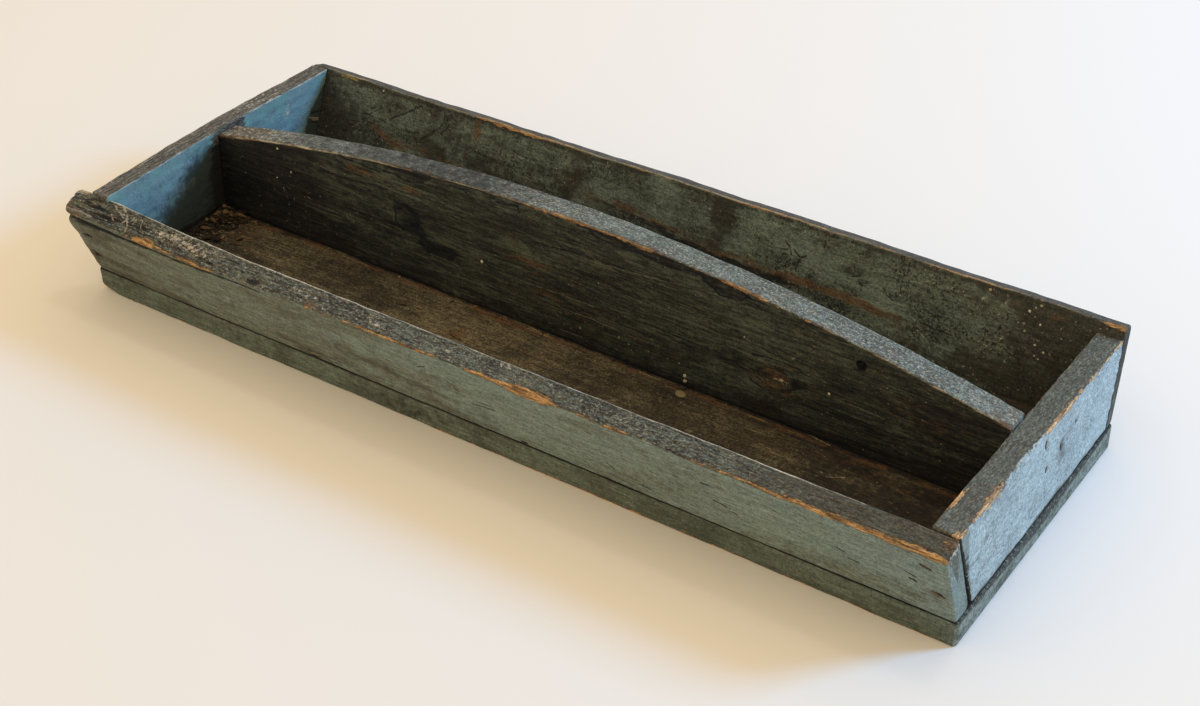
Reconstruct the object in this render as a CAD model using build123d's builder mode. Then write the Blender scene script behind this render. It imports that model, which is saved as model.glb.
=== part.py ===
from build123d import *
import os
from math import cos, radians, sin, tan

os.makedirs("parts", exist_ok=True)

# An open carrying tray of old pine boards: a flat bottom, two leaning long sides, two ends that
# fit between them, and an arched divider down the middle that is the handle. Cut nails hold it.
# Sizes are millimetres. X runs along the tray, -Y is its front and Z is up. The origin lies on
# the underside, in the middle of the tray's whole plan.

# bottom board
bottom_length = 610
bottom_width = 202
bottom_thickness = 16
bottom_corner_wear = 3

# front side: its height is that of the outer top arris over the bottom board, and its left
# end overhangs the bottom board at the top
front_lean = 15
front_height = 48.5
front_thickness = 15
front_left_overhang = 9

# back side, sawn from a thinner and wider board
back_lean = 20.3
back_height = 55
back_thickness = 9

# end boards lean in a little, and the right one is lower at the back
left_end_lean = 2
left_end_height = 57.5
left_end_thickness = 14
left_end_inset = 0.5
right_end_lean = 4
right_end_front_height = 54
right_end_back_height = 51
right_end_thickness = 16
right_end_inset = 1

# divider, set a little askew, with its arch measured over the straight line between its ends
divider_thickness = 18
divider_left_height = 56
divider_right_height = 54.5
divider_rise = 32.5
divider_left_y = 10
divider_right_y = 3.5
hole_diameter = 6.5
hole_from_right = 93.5
hole_height = 60.5

# handled arrises are worn round
side_wear = 1.2
end_wear = 1.2
divider_wear = 2

# cut nails: a flat tapered shank under a small oblong head, set below the wood
nail_length = 50
nail_head_length = 5
nail_head_width = 3
nail_head_thickness = 1
nail_shank_length = 3.4
nail_shank_width = 2.2
nail_tip_length = 1.6
nail_sink = 1
nail_clearance = 0.05

# nail places: up a leaning face from the bottom board, and in from the board's end
corner_nail_low = 15
left_corner_nail_high = 32
right_corner_nail_high = 38
front_right_low_inset = 11
front_right_high_inset = 16.5
divider_nail_low = 25
divider_nail_high = 44
bottom_nail_length = 42
bottom_side_nails = 5
bottom_side_nail_pitch = 130
bottom_divider_nails = 3
bottom_divider_nail_pitch = 180
bottom_end_nail_reach = 48

# worked out from the sizes above
front_slope = tan(radians(front_lean))
back_slope = tan(radians(back_lean))
left_slope = tan(radians(left_end_lean))
right_slope = tan(radians(right_end_lean))
front_reach = front_height * front_slope
back_reach = back_height * back_slope
front_left_slope = front_left_overhang / (front_height + front_thickness * sin(radians(front_lean)))
middle_x = front_left_overhang / 2
middle_y = (front_reach - back_reach) / 2
left_x = middle_x - bottom_length / 2
right_x = middle_x + bottom_length / 2
front_y = middle_y - bottom_width / 2
back_y = middle_y + bottom_width / 2
left_foot_x = left_x + left_end_inset
right_foot_x = right_x - right_end_inset
left_inner_foot_x = left_foot_x + left_end_thickness / cos(radians(left_end_lean))
right_inner_foot_x = right_foot_x - right_end_thickness / cos(radians(right_end_lean))
front_inner_foot_y = front_y + front_thickness / cos(radians(front_lean))
back_inner_foot_y = back_y - back_thickness / cos(radians(back_lean))
tallest = bottom_thickness + divider_left_height + divider_right_height + divider_rise


def sloped(foot, slope, height):
    """Place along a leaning line at a height over the bottom board, from its foot and its slope."""
    return foot + slope * height


def side_section(foot_y, outward, lean, height, thickness):
    """Corners of a leaning side's section: foot cut level, top edge cut square to the faces."""
    outer_top_y = foot_y + outward * height * tan(radians(lean))
    top_z = bottom_thickness + height
    inner_foot_y = foot_y - outward * thickness / cos(radians(lean))
    inner_top_y = outer_top_y - outward * thickness * cos(radians(lean))
    inner_top_z = top_z + thickness * sin(radians(lean))
    return (
        (foot_y, bottom_thickness),
        (outer_top_y, top_z),
        (inner_top_y, inner_top_z),
        (inner_foot_y, bottom_thickness),
    )


def standing_outline(left_foot, left_lean_slope, right_foot, right_lean_slope):
    """Front view of what stands between two leaning end lines, from the bottom board up."""
    reach = tallest - bottom_thickness
    return (
        (left_foot, bottom_thickness),
        (sloped(left_foot, left_lean_slope, reach), tallest),
        (sloped(right_foot, right_lean_slope, reach), tallest),
        (right_foot, bottom_thickness),
    )


def cut_nail(length, growth=0, mouth=0):
    """A cut nail along -Z with its head's top at the origin; growth and a mouth make its hole."""
    with BuildPart() as nail:
        with BuildSketch(Plane.XY.offset(mouth)):
            Rectangle(nail_head_length + 2 * growth, nail_head_width + 2 * growth)
        extrude(amount=-mouth - nail_head_thickness - growth)
        with BuildSketch(Plane.XY.offset(-nail_head_thickness)):
            Rectangle(nail_shank_length + 2 * growth, nail_shank_width + 2 * growth)
        with BuildSketch(Plane.XY.offset(-length - growth)):
            Rectangle(nail_tip_length + 2 * growth, nail_shank_width + 2 * growth)
        loft()
    return nail.part


def nails_on(face, places):
    """Planes of nails driven square into a face, at places along and up that face."""
    return [
        Plane(face.from_local_coords((along, up, -nail_sink)), x_dir=face.x_dir, z_dir=face.z_dir)
        for along, up in places
    ]


def nails_below(places, lean_x=0, lean_y=0):
    """Planes of nails driven up through the bottom board, leaning towards +X and +Y by degrees."""
    up = Vector(tan(radians(lean_x)), tan(radians(lean_y)), 1).normalized()
    across = (Vector(1, 0, 0) - up * up.X).normalized()
    return [
        Plane(Vector(x, y, 0) + up * nail_sink, x_dir=across, z_dir=-up) for x, y in places
    ]


def spread(count, pitch):
    """Evenly spaced places about zero."""
    return [(index - (count - 1) / 2) * pitch for index in range(count)]


nail = cut_nail(nail_length)
nail_hole = cut_nail(nail_length, growth=nail_clearance, mouth=2 * nail_sink)
bottom_nail = cut_nail(bottom_nail_length)
bottom_nail_hole = cut_nail(bottom_nail_length, growth=nail_clearance, mouth=2 * nail_sink)

# faces that the nails are driven into
front_face = Plane(
    (0, front_y, bottom_thickness),
    x_dir=(1, 0, 0),
    z_dir=(0, -cos(radians(front_lean)), -sin(radians(front_lean))),
)
back_face = Plane(
    (0, back_y, bottom_thickness),
    x_dir=(-1, 0, 0),
    z_dir=(0, cos(radians(back_lean)), -sin(radians(back_lean))),
)
left_face = Plane(
    (left_foot_x, 0, bottom_thickness),
    x_dir=(0, -1, 0),
    z_dir=(-cos(radians(left_end_lean)), 0, sin(radians(left_end_lean))),
)
right_face = Plane(
    (right_foot_x, 0, bottom_thickness),
    x_dir=(0, 1, 0),
    z_dir=(cos(radians(right_end_lean)), 0, sin(radians(right_end_lean))),
)

# nails through the sides into the ends
left_nail_x = left_foot_x + left_end_thickness / 2
right_nail_x = right_foot_x - right_end_thickness / 2
front_left_corner_planes = nails_on(
    front_face,
    [(left_nail_x, corner_nail_low), (left_nail_x, left_corner_nail_high)],
)
front_right_corner_planes = nails_on(
    front_face,
    [
        (right_x - front_right_low_inset, corner_nail_low),
        (right_x - front_right_high_inset, right_corner_nail_high),
    ],
)
back_left_corner_planes = nails_on(
    back_face,
    [(-left_nail_x, corner_nail_low), (-left_nail_x, left_corner_nail_high)],
)
back_right_corner_planes = nails_on(
    back_face,
    [
        (-sloped(right_nail_x, -right_slope, height), height)
        for height in (corner_nail_low, left_corner_nail_high)
    ],
)

# nails through the ends into the divider
left_divider_y = middle_y + divider_left_y
right_divider_y = middle_y + divider_right_y
left_divider_planes = nails_on(
    left_face,
    [(-left_divider_y, divider_nail_low), (-left_divider_y, divider_nail_high)],
)
right_divider_planes = nails_on(
    right_face,
    [(right_divider_y, divider_nail_low), (right_divider_y, divider_nail_high)],
)

# nails up through the bottom board, along the middle of what stands on it
front_row_y = (front_y + front_inner_foot_y) / 2 + bottom_thickness * front_slope
back_row_y = (back_y + back_inner_foot_y) / 2 - bottom_thickness * back_slope
left_row_x = (left_foot_x + left_inner_foot_x) / 2 - bottom_thickness * left_slope
right_row_x = (right_foot_x + right_inner_foot_x) / 2 + bottom_thickness * right_slope
divider_skew = (right_divider_y - left_divider_y) / (right_inner_foot_x - left_inner_foot_x)
side_row = [middle_x + place for place in spread(bottom_side_nails, bottom_side_nail_pitch)]
divider_row = [
    middle_x + place for place in spread(bottom_divider_nails, bottom_divider_nail_pitch)
]
bottom_front_planes = nails_below([(x, front_row_y) for x in side_row], lean_y=-front_lean)
bottom_back_planes = nails_below([(x, back_row_y) for x in side_row], lean_y=back_lean)
end_row = (middle_y - bottom_end_nail_reach, middle_y + bottom_end_nail_reach)
bottom_left_end_planes = nails_below([(left_row_x, y) for y in end_row], lean_x=left_end_lean)
bottom_right_end_planes = nails_below([(right_row_x, y) for y in end_row], lean_x=-right_end_lean)
bottom_divider_planes = nails_below(
    [(x, left_divider_y + divider_skew * (x - left_inner_foot_x)) for x in divider_row]
)
all_bottom_planes = (
    bottom_front_planes
    + bottom_back_planes
    + bottom_left_end_planes
    + bottom_right_end_planes
    + bottom_divider_planes
)

# bottom board, worn at its corners
with BuildPart() as bottom_board:
    with BuildSketch():
        with Locations((middle_x, middle_y)):
            RectangleRounded(bottom_length, bottom_width, bottom_corner_wear)
    extrude(amount=bottom_thickness)
    fillet(bottom_board.faces().sort_by(Axis.Z)[0].edges(), side_wear)
    with Locations(*all_bottom_planes):
        add(bottom_nail_hole, mode=Mode.SUBTRACT)
bottom_board.part.label = "bottom_board"

# front side, its left end cut askew so that it overhangs the bottom board at the top
with BuildPart() as front_side:
    with BuildSketch(Plane.YZ):
        Polygon(
            *side_section(front_y, -1, front_lean, front_height, front_thickness), align=None
        )
    extrude(amount=bottom_length, both=True)
    with BuildSketch(Plane.XZ):
        Polygon(
            *standing_outline(left_x, -front_left_slope, right_foot_x, -right_slope), align=None
        )
    extrude(amount=bottom_width, both=True, mode=Mode.INTERSECT)
    fillet(front_side.edges().filter_by(Axis.X).sort_by(Axis.Z)[-2:], side_wear)
    with Locations(*front_left_corner_planes, *front_right_corner_planes):
        add(nail_hole, mode=Mode.SUBTRACT)
    with Locations(*bottom_front_planes):
        add(bottom_nail_hole, mode=Mode.SUBTRACT)
front_side.part.label = "front_side"

# back side, its ends following the lean of the end boards
with BuildPart() as back_side:
    with BuildSketch(Plane.YZ):
        Polygon(*side_section(back_y, 1, back_lean, back_height, back_thickness), align=None)
    extrude(amount=bottom_length, both=True)
    with BuildSketch(Plane.XZ):
        Polygon(
            *standing_outline(left_foot_x, left_slope, right_foot_x, -right_slope), align=None
        )
    extrude(amount=bottom_width, both=True, mode=Mode.INTERSECT)
    fillet(back_side.edges().filter_by(Axis.X).sort_by(Axis.Z)[-2:], side_wear)
    with Locations(*back_left_corner_planes, *back_right_corner_planes):
        add(nail_hole, mode=Mode.SUBTRACT)
    with Locations(*bottom_back_planes):
        add(bottom_nail_hole, mode=Mode.SUBTRACT)
back_side.part.label = "back_side"


def end_outline(front_height_here, back_height_here):
    """Side view of an end board between the leaning inner faces of the two sides."""
    return (
        (front_inner_foot_y, bottom_thickness),
        (
            sloped(front_inner_foot_y, -front_slope, front_height_here),
            bottom_thickness + front_height_here,
        ),
        (
            sloped(back_inner_foot_y, back_slope, back_height_here),
            bottom_thickness + back_height_here,
        ),
        (back_inner_foot_y, bottom_thickness),
    )


# left end, nailed into from both sides, from the bottom board and into the divider
with BuildPart() as left_end:
    with BuildSketch(Plane.YZ):
        Polygon(*end_outline(left_end_height, left_end_height), align=None)
    extrude(amount=bottom_length, both=True)
    with BuildSketch(Plane.XZ):
        Polygon(
            *standing_outline(left_foot_x, left_slope, left_inner_foot_x, left_slope), align=None
        )
    extrude(amount=bottom_width, both=True, mode=Mode.INTERSECT)
    fillet(left_end.edges().filter_by(Axis.Y).sort_by(Axis.Z)[-2:], end_wear)
    with Locations(*front_left_corner_planes, *back_left_corner_planes, *left_divider_planes):
        add(nail_hole, mode=Mode.SUBTRACT)
    with Locations(*bottom_left_end_planes):
        add(bottom_nail_hole, mode=Mode.SUBTRACT)
left_end.part.label = "left_end"

# right end
with BuildPart() as right_end:
    with BuildSketch(Plane.YZ):
        Polygon(*end_outline(right_end_front_height, right_end_back_height), align=None)
    extrude(amount=bottom_length, both=True)
    with BuildSketch(Plane.XZ):
        Polygon(
            *standing_outline(right_inner_foot_x, -right_slope, right_foot_x, -right_slope),
            align=None,
        )
    extrude(amount=bottom_width, both=True, mode=Mode.INTERSECT)
    top_edges = right_end.faces().sort_by(Axis.Z)[-1].edges()
    fillet(top_edges.sort_by(SortBy.LENGTH)[-2:], end_wear)
    with Locations(*front_right_corner_planes, *back_right_corner_planes, *right_divider_planes):
        add(nail_hole, mode=Mode.SUBTRACT)
    with Locations(*bottom_right_end_planes):
        add(bottom_nail_hole, mode=Mode.SUBTRACT)
right_end.part.label = "right_end"

# divider: an arched board between the ends, pierced by one small hole near its right end
divider_left_top = (
    sloped(left_inner_foot_x, left_slope, divider_left_height),
    bottom_thickness + divider_left_height,
)
divider_right_top = (
    sloped(right_inner_foot_x, -right_slope, divider_right_height),
    bottom_thickness + divider_right_height,
)
divider_crest = (
    (divider_left_top[0] + divider_right_top[0]) / 2,
    (divider_left_top[1] + divider_right_top[1]) / 2 + divider_rise,
)
hole_x = right_inner_foot_x - hole_from_right
hole_z = bottom_thickness + hole_height
with BuildPart() as divider:
    with BuildSketch(Plane.XZ):
        with BuildLine():
            Polyline(
                divider_left_top,
                (left_inner_foot_x, bottom_thickness),
                (right_inner_foot_x, bottom_thickness),
                divider_right_top,
            )
            ThreePointArc(divider_right_top, divider_crest, divider_left_top)
        make_face()
    extrude(amount=bottom_width, both=True)
    with BuildSketch():
        Polygon(
            *[
                (x, left_divider_y + divider_skew * (x - left_inner_foot_x) + offset_y)
                for x, offset_y in (
                    (left_x, -divider_thickness / 2),
                    (right_x, -divider_thickness / 2),
                    (right_x, divider_thickness / 2),
                    (left_x, divider_thickness / 2),
                )
            ],
            align=None,
        )
    extrude(amount=tallest, mode=Mode.INTERSECT)
    crest_edges = divider.faces().filter_by(GeomType.CYLINDER).edges()
    fillet(crest_edges.sort_by(SortBy.LENGTH)[-2:], divider_wear)
    with BuildSketch(Plane.XZ):
        with Locations((hole_x, hole_z)):
            Circle(hole_diameter / 2)
    extrude(amount=bottom_width, both=True, mode=Mode.SUBTRACT)
    with Locations(*left_divider_planes, *right_divider_planes):
        add(nail_hole, mode=Mode.SUBTRACT)
    with Locations(*bottom_divider_planes):
        add(bottom_nail_hole, mode=Mode.SUBTRACT)
divider.part.label = "divider"

boards = [bottom_board, front_side, back_side, left_end, right_end, divider]
for board in boards:
    export_step(board.part, f"parts/{board.part.label}.step")

# each joint's nails are one group of separate nails
nail_groups = {
    "front_left_corner_nails": (nail, front_left_corner_planes),
    "front_right_corner_nails": (nail, front_right_corner_planes),
    "back_left_corner_nails": (nail, back_left_corner_planes),
    "back_right_corner_nails": (nail, back_right_corner_planes),
    "left_divider_nails": (nail, left_divider_planes),
    "right_divider_nails": (nail, right_divider_planes),
    "bottom_front_nails": (bottom_nail, bottom_front_planes),
    "bottom_back_nails": (bottom_nail, bottom_back_planes),
    "bottom_left_end_nails": (bottom_nail, bottom_left_end_planes),
    "bottom_right_end_nails": (bottom_nail, bottom_right_end_planes),
    "bottom_divider_nails": (bottom_nail, bottom_divider_planes),
}
for group_name, (one_nail, planes) in nail_groups.items():
    with BuildPart() as nail_group:
        with Locations(*planes):
            add(one_nail)
    nail_group.part.label = group_name
    export_step(nail_group.part, f"parts/{group_name}.step")
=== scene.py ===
import bpy
import math
import numpy as np
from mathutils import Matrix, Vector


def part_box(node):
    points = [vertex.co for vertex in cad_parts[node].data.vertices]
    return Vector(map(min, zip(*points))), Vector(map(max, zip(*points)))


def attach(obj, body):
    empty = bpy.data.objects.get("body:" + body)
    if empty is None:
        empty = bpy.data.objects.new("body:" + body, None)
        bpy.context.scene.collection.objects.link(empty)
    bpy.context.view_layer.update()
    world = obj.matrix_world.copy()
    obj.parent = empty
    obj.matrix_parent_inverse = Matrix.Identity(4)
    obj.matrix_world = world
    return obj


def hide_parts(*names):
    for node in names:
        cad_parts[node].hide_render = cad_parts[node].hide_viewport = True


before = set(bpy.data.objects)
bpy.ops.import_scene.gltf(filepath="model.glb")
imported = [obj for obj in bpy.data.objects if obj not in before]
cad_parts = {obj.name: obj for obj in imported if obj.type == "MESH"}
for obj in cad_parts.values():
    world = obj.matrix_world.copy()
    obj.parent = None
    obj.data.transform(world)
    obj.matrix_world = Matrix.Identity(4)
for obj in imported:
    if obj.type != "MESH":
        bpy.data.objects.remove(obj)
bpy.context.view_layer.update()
print("frame loaded:", len(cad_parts), "nodes")

mm = 0.001


# Wandering line: the sum of 0.6^k sin(2 pi 2^k t / pitch + phase_k), scaled to stay within -1 and 1.
def wander(t, seed, pitch, octaves=4):
    draw = np.random.default_rng(seed)
    total, size = np.zeros(np.shape(t)), 0
    for octave in range(octaves):
        weight = 0.6 ** octave
        stretch = draw.uniform(0.85, 1.15) * 2 ** octave / pitch
        total = total + weight * np.sin(2 * np.pi * (t * stretch + draw.uniform()))
        size += weight
    return total / size


# Rough sheet: the mean of plane waves sin(2 pi (u cos a / pitchU + v sin a / pitchV) + phase).
def roughness(u, v, seed, pitchU, pitchV, waves=14):
    draw = np.random.default_rng(seed)
    total = np.zeros(np.shape(u))
    for _ in range(waves):
        angle, size = draw.uniform(0, 2 * np.pi), draw.uniform(0.6, 1.8)
        phase = draw.uniform(0, 2 * np.pi)
        total = total + np.sin(2 * np.pi * size * (u * math.cos(angle) / pitchU
                                                   + v * math.sin(angle) / pitchV) + phase)
    return total / math.sqrt(waves)


# Closeness: exp(-(gap / reach)^2), which is 1 on the line and dies away from it.
def near(gap, reach):
    return np.exp(-(gap / reach) ** 2)


# Smooth step from 0 at low to 1 at high: 3 s^2 - 2 s^3 of the share s.
def rise(t, low, high):
    share = np.clip((t - low) / (high - low), 0, 1)
    return share * share * (3 - 2 * share)


# Course along a board: straight between the given (place, value) pairs.
def course(t, *pairs):
    places, values = zip(*pairs)
    return np.interp(t, places, values)


# Blots: for each (u, v, length, width, strength, turn) strength * exp(-(p/length)^2 - (q/width)^2),
# with p and q the distances along and across the blot. The turn may be left out when it is 0.
def blots(u, v, marks):
    total = np.zeros(np.broadcast(u, v).shape)
    for placeU, placeV, length, width, strength, *turn in marks:
        angle = math.radians(turn[0]) if turn else 0
        c, s = math.cos(angle), math.sin(angle)
        p = (u - placeU) * c + (v - placeV) * s
        q = (v - placeV) * c - (u - placeU) * s
        total = total + strength * np.exp(-(p / length) ** 2 - (q / width) ** 2)
    return total


# Section: side k runs straight from corner k to corner k + 1; a worn corner C between A and B is
# (1-t)^2 A + 2 t (1-t) C + t^2 B, with A and B its wear back along the two sides.
def wornSection(corners, wear, counts, arcPoints):
    way = np.roll(corners, -1, axis=1) - corners
    way = way / np.linalg.norm(way, axis=2, keepdims=True)
    parts, sides = [], []
    t = np.linspace(0, 1, arcPoints)
    w = t[None, :, None]
    for k in range(4):
        begin = corners[:, k] - way[:, k - 1] * wear[:, k, None]
        end = corners[:, k] + way[:, k] * wear[:, k, None]
        parts.append((1 - w) ** 2 * begin[:, None] + 2 * w * (1 - w) * corners[:, k, None]
                     + w ** 2 * end[:, None])
        blend = np.zeros((4, arcPoints))
        blend[k - 1], blend[k] = 1 - t, t
        sides.append(blend)
        stop = corners[:, (k + 1) % 4] - way[:, k] * wear[:, (k + 1) % 4, None]
        share = np.linspace(0, 1, counts[k] + 2)[1:-1]
        parts.append(end[:, None] * (1 - share[None, :, None]) + stop[:, None] * share[None, :, None])
        only = np.zeros((4, counts[k]))
        only[k] = 1
        sides.append(only)
    return np.concatenate(parts, axis=1), np.concatenate(sides, axis=1)


# Board: the section at share s of the length, carried from line start(h) to line end(h) of the
# height h, so along = start(h) + s (end(h) - start(h)). Each end is rounded by a quarter ellipse,
# its (along, through, tall) radii given, and closed by rings that shrink to its middle.
def carriedBoard(length, cornersAt, wearAt, startLine, endLine, counts, startRound, endRound,
                 step=2, fineStep=0.8, fineReach=26, arcPoints=7, capRings=6):
    middle = np.arange(fineReach, length - fineReach, step)
    turn = np.linspace(0, np.pi / 2, 9)
    shrink = np.linspace(0.06, 1, capRings)[:-1]
    nearStart = np.arange(startRound[0] + fineStep, fineReach, fineStep)
    nearEnd = np.arange(endRound[0] + fineStep, fineReach, fineStep)
    flat, curve = np.zeros(len(shrink)), 1 - np.cos(turn)
    place = np.concatenate([flat, startRound[0] * curve, nearStart, middle, length - nearEnd[::-1],
                            length - endRound[0] * curve[::-1], length + flat])
    still = len(nearStart) + len(middle) + len(nearEnd)
    fold = np.concatenate([np.ones(len(shrink)), 1 - np.sin(turn)])
    insetStart = np.concatenate([fold, np.zeros(still + len(fold))])
    insetEnd = np.concatenate([np.zeros(len(fold) + still), fold[::-1]])
    squeeze = np.concatenate([shrink, np.ones(len(turn) * 2 + still), shrink[::-1]])
    share = place / length
    corners = cornersAt(share)
    section, sides = wornSection(corners, wearAt(share), counts, arcPoints)
    centre = corners.mean(1)[:, None]
    through = ((corners[:, 0] + corners[:, 1]) - (corners[:, 2] + corners[:, 3]))[:, None] / 4
    tall = ((corners[:, 1] + corners[:, 2]) - (corners[:, 0] + corners[:, 3]))[:, None] / 4
    away = section - centre
    area = through[..., 0] * tall[..., 1] - through[..., 1] * tall[..., 0]
    a = (away[..., 0] * tall[..., 1] - away[..., 1] * tall[..., 0]) / area
    b = (through[..., 0] * away[..., 1] - through[..., 1] * away[..., 0]) / area
    insetA = (insetStart * startRound[1] + insetEnd * endRound[1])[:, None]
    insetB = (insetStart * startRound[2] + insetEnd * endRound[2])[:, None]
    fitA = (1 - insetA / np.linalg.norm(through, axis=2)) * squeeze[:, None]
    fitB = (1 - insetB / np.linalg.norm(tall, axis=2)) * squeeze[:, None]
    section = centre + (a * fitA)[..., None] * through + (b * fitB)[..., None] * tall
    height = section[..., 1]
    start, end = startLine(height), endLine(height)
    along = start + share[:, None] * (end - start)
    tangent = np.roll(section, -1, axis=1) - np.roll(section, 1, axis=1)
    tangent /= np.maximum(np.linalg.norm(tangent, axis=2, keepdims=True), 1e-9)
    normal = np.stack([tangent[..., 1], -tangent[..., 0]], axis=2)
    if (normal * (section - centre)).sum() < 0:
        normal = -normal
    gaps = np.linalg.norm(section[:, :, None] - corners[:, None], axis=3)
    way = np.roll(corners, -1, axis=1) - corners
    across = np.einsum("npkd,nkd->npk", section[:, :, None] - corners[:, None], way)
    across = np.clip(across / (way ** 2).sum(2)[:, None], 0, 1)
    outer, top, inner = (sides[k] + 0 * along for k in range(3))
    return {"along": along, "section": section, "normal": normal, "outer": outer, "top": top,
            "inner": inner, "gaps": gaps, "across": across, "fromStart": along - start,
            "startEnd": insetStart[:, None] + 0 * along, "endEnd": insetEnd[:, None] + 0 * along}


# What most marks need: the place along the board, its height, and its three painted sides.
def sidesOf(board):
    return board["along"], board["section"][..., 1], board["outer"], board["top"], board["inner"]


# Faces of a tube of rings: ring i and ring i + 1 are joined by four-cornered faces, and each end's
# ring by a fan to its middle.
def tubeFaces(rings, around, firstMiddle, lastMiddle):
    i, j = np.meshgrid(np.arange(rings - 1), np.arange(around), indexing="ij")
    nextJ = (j + 1) % around
    quads = np.stack([i * around + j, (i + 1) * around + j, (i + 1) * around + nextJ,
                      i * around + nextJ], axis=2).reshape(-1, 4)
    ring, far = np.arange(around), (rings - 1) * around
    nextRing = (ring + 1) % around
    fans = np.concatenate([np.stack([ring, nextRing, 0 * ring + firstMiddle], axis=1),
                           np.stack([far + nextRing, far + ring, 0 * ring + lastMiddle], axis=1)])
    return quads, fans


def newPiece(name, vertices, quads, fans, marks):
    mesh = bpy.data.meshes.new(name)
    mesh.vertices.add(len(vertices))
    mesh.vertices.foreach_set("co", (vertices * mm).astype(np.float32).ravel())
    loops = np.concatenate([quads.ravel(), fans.ravel()]).astype(np.int32)
    starts = np.concatenate([np.arange(len(quads)) * 4, len(quads) * 4 + np.arange(len(fans)) * 3])
    mesh.loops.add(len(loops))
    mesh.loops.foreach_set("vertex_index", loops)
    mesh.polygons.add(len(starts))
    mesh.polygons.foreach_set("loop_start", starts.astype(np.int32))
    mesh.polygons.foreach_set("use_smooth", np.ones(len(starts), bool))
    mesh.update(calc_edges=True)
    for label, values in marks.items():
        values = values.astype(np.float32)
        mesh.attributes.new(label, "FLOAT", "POINT").data.foreach_set("value", values)
    return linkedObject(name, mesh)


# Closed skin: a tube through the points, less the faces left out. If its volume, the sum of
# a . (b x c) / 6, comes out negative the faces are turned round.
def closedSkin(name, points, marks, leaveOut=None, bridges=None):
    rings, around = points.shape[:2]
    vertices = np.concatenate([points.reshape(-1, 3), points[[0, -1]].mean(1)])
    quads, fans = tubeFaces(rings, around, rings * around, rings * around + 1)
    if leaveOut is not None:
        quads = np.concatenate([quads[~leaveOut.reshape(-1)], bridges])
    p = vertices[quads]
    volume = (p[:, 0] * np.cross(p[:, 1], p[:, 2]) + p[:, 0] * np.cross(p[:, 2], p[:, 3])).sum()
    if volume < 0:
        quads, fans = quads[:, ::-1], fans[:, ::-1]
    values = {}
    for label, value in marks.items():
        value = np.broadcast_to(value, points.shape[:2])
        values[label] = np.concatenate([value.reshape(-1), value[[0, -1]].mean(1)])
    return newPiece(name, vertices, quads, fans, values)


# One board's place in space: (along, across, height) for a side, (across, along, height) for an end.
def placed(board, outward, alongX=True):
    section = board["section"] + board["normal"] * outward[..., None]
    if alongX:
        return np.stack([board["along"], section[..., 0], section[..., 1]], axis=2)
    return np.stack([section[..., 0], board["along"], section[..., 1]], axis=2)


def linkedObject(name, data):
    made = bpy.data.objects.new(name, data)
    bpy.context.scene.collection.objects.link(made)
    return made


def finishPiece(piece, material, node=None):
    piece.data.materials.append(material)
    if node:
        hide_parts(node)
    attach(piece, "root")
    print(piece.name, "made,", len(piece.data.polygons), "faces")


# One socket's value in the node tree that is being built. It adds, subtracts and multiplies like a
# number, each time through one Math node.
class Feed:
    def __init__(self, socket):
        self.socket = socket

    def __add__(self, other):
        return maths("ADD", self, other)

    def __radd__(self, other):
        return maths("ADD", other, self)

    def __sub__(self, other):
        return maths("SUBTRACT", self, other)

    def __rsub__(self, other):
        return maths("SUBTRACT", other, self)

    def __mul__(self, other):
        return maths("MULTIPLY", self, other)


work = {"tree": None}  # the node tree that is being built


def plug(socket, value):
    if isinstance(value, Feed):
        work["tree"].links.new(value.socket, socket)
    elif value is not None:
        socket.default_value = (*value, 1) if socket.type == "RGBA" else value


# New node: small-letter names are its settings, the other ones its inputs.
def addNode(kind, *feeds, **named):
    made = work["tree"].nodes.new(kind)
    for key in [key for key in named if key[0].islower()]:
        setattr(made, key, named.pop(key))
    for key, value in [*enumerate(feeds), *named.items()]:
        plug(made.inputs[key], value)
    return made


def feedOf(kind, *feeds, output=0, **named):
    return Feed(addNode(kind, *feeds, **named).outputs[output])


def maths(operation, a, b=None):
    return feedOf("ShaderNodeMath", a, b, operation=operation)


def vectors(operation, *feeds, output=0, **named):
    return feedOf("ShaderNodeVectorMath", *feeds, output=output, operation=operation, **named)


def smoothRange(value, low, high, fromValue=0, toValue=1):
    return feedOf("ShaderNodeMapRange", value, low, high, fromValue, toValue,
        interpolation_type="SMOOTHSTEP")


def mixColour(share, a, b, blend="MIX"):
    return feedOf("ShaderNodeMix", share, *[None] * 5, a, b, output=2, data_type="RGBA", blend_type=blend)


def mixValue(share, a, b):
    return feedOf("ShaderNodeMix", share, None, a, b)


def multiplied(colour, lift):
    lift = feedOf("ShaderNodeCombineColor", lift, lift, lift)
    return mixColour(1, colour, lift, "MULTIPLY")


def noiseOf(place, scale, detail=4, rough=0.55, distortion=0):
    return feedOf("ShaderNodeTexNoise", output="Fac", Vector=place, Scale=scale, Detail=detail,
                  Roughness=rough, Distortion=distortion)


def attributeOf(label):
    return feedOf("ShaderNodeAttribute", output="Fac", attribute_name=label)


def namedFeeds(sockets):
    return {socket.name: Feed(socket) for socket in sockets}


def newGroup(name, places, colours, numbers):
    tree = work["tree"] = bpy.data.node_groups.new(name, "ShaderNodeTree")
    for kind, labels in (("Vector", places), ("Color", colours), ("Float", numbers)):
        for label in labels.split():
            tree.interface.new_socket(label, in_out="INPUT", socket_type="NodeSocket" + kind)
    return namedFeeds(tree.nodes.new("NodeGroupInput").outputs)


def closeGroup(**results):
    tree = work["tree"]
    for label in results:
        kind = "NodeSocketColor" if label == "Colour" else "NodeSocketFloat"
        tree.interface.new_socket(label, in_out="OUTPUT", socket_type=kind)
    ending = tree.nodes.new("NodeGroupOutput")
    for label, result in results.items():
        plug(ending.inputs[label], result)
    return tree


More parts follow.
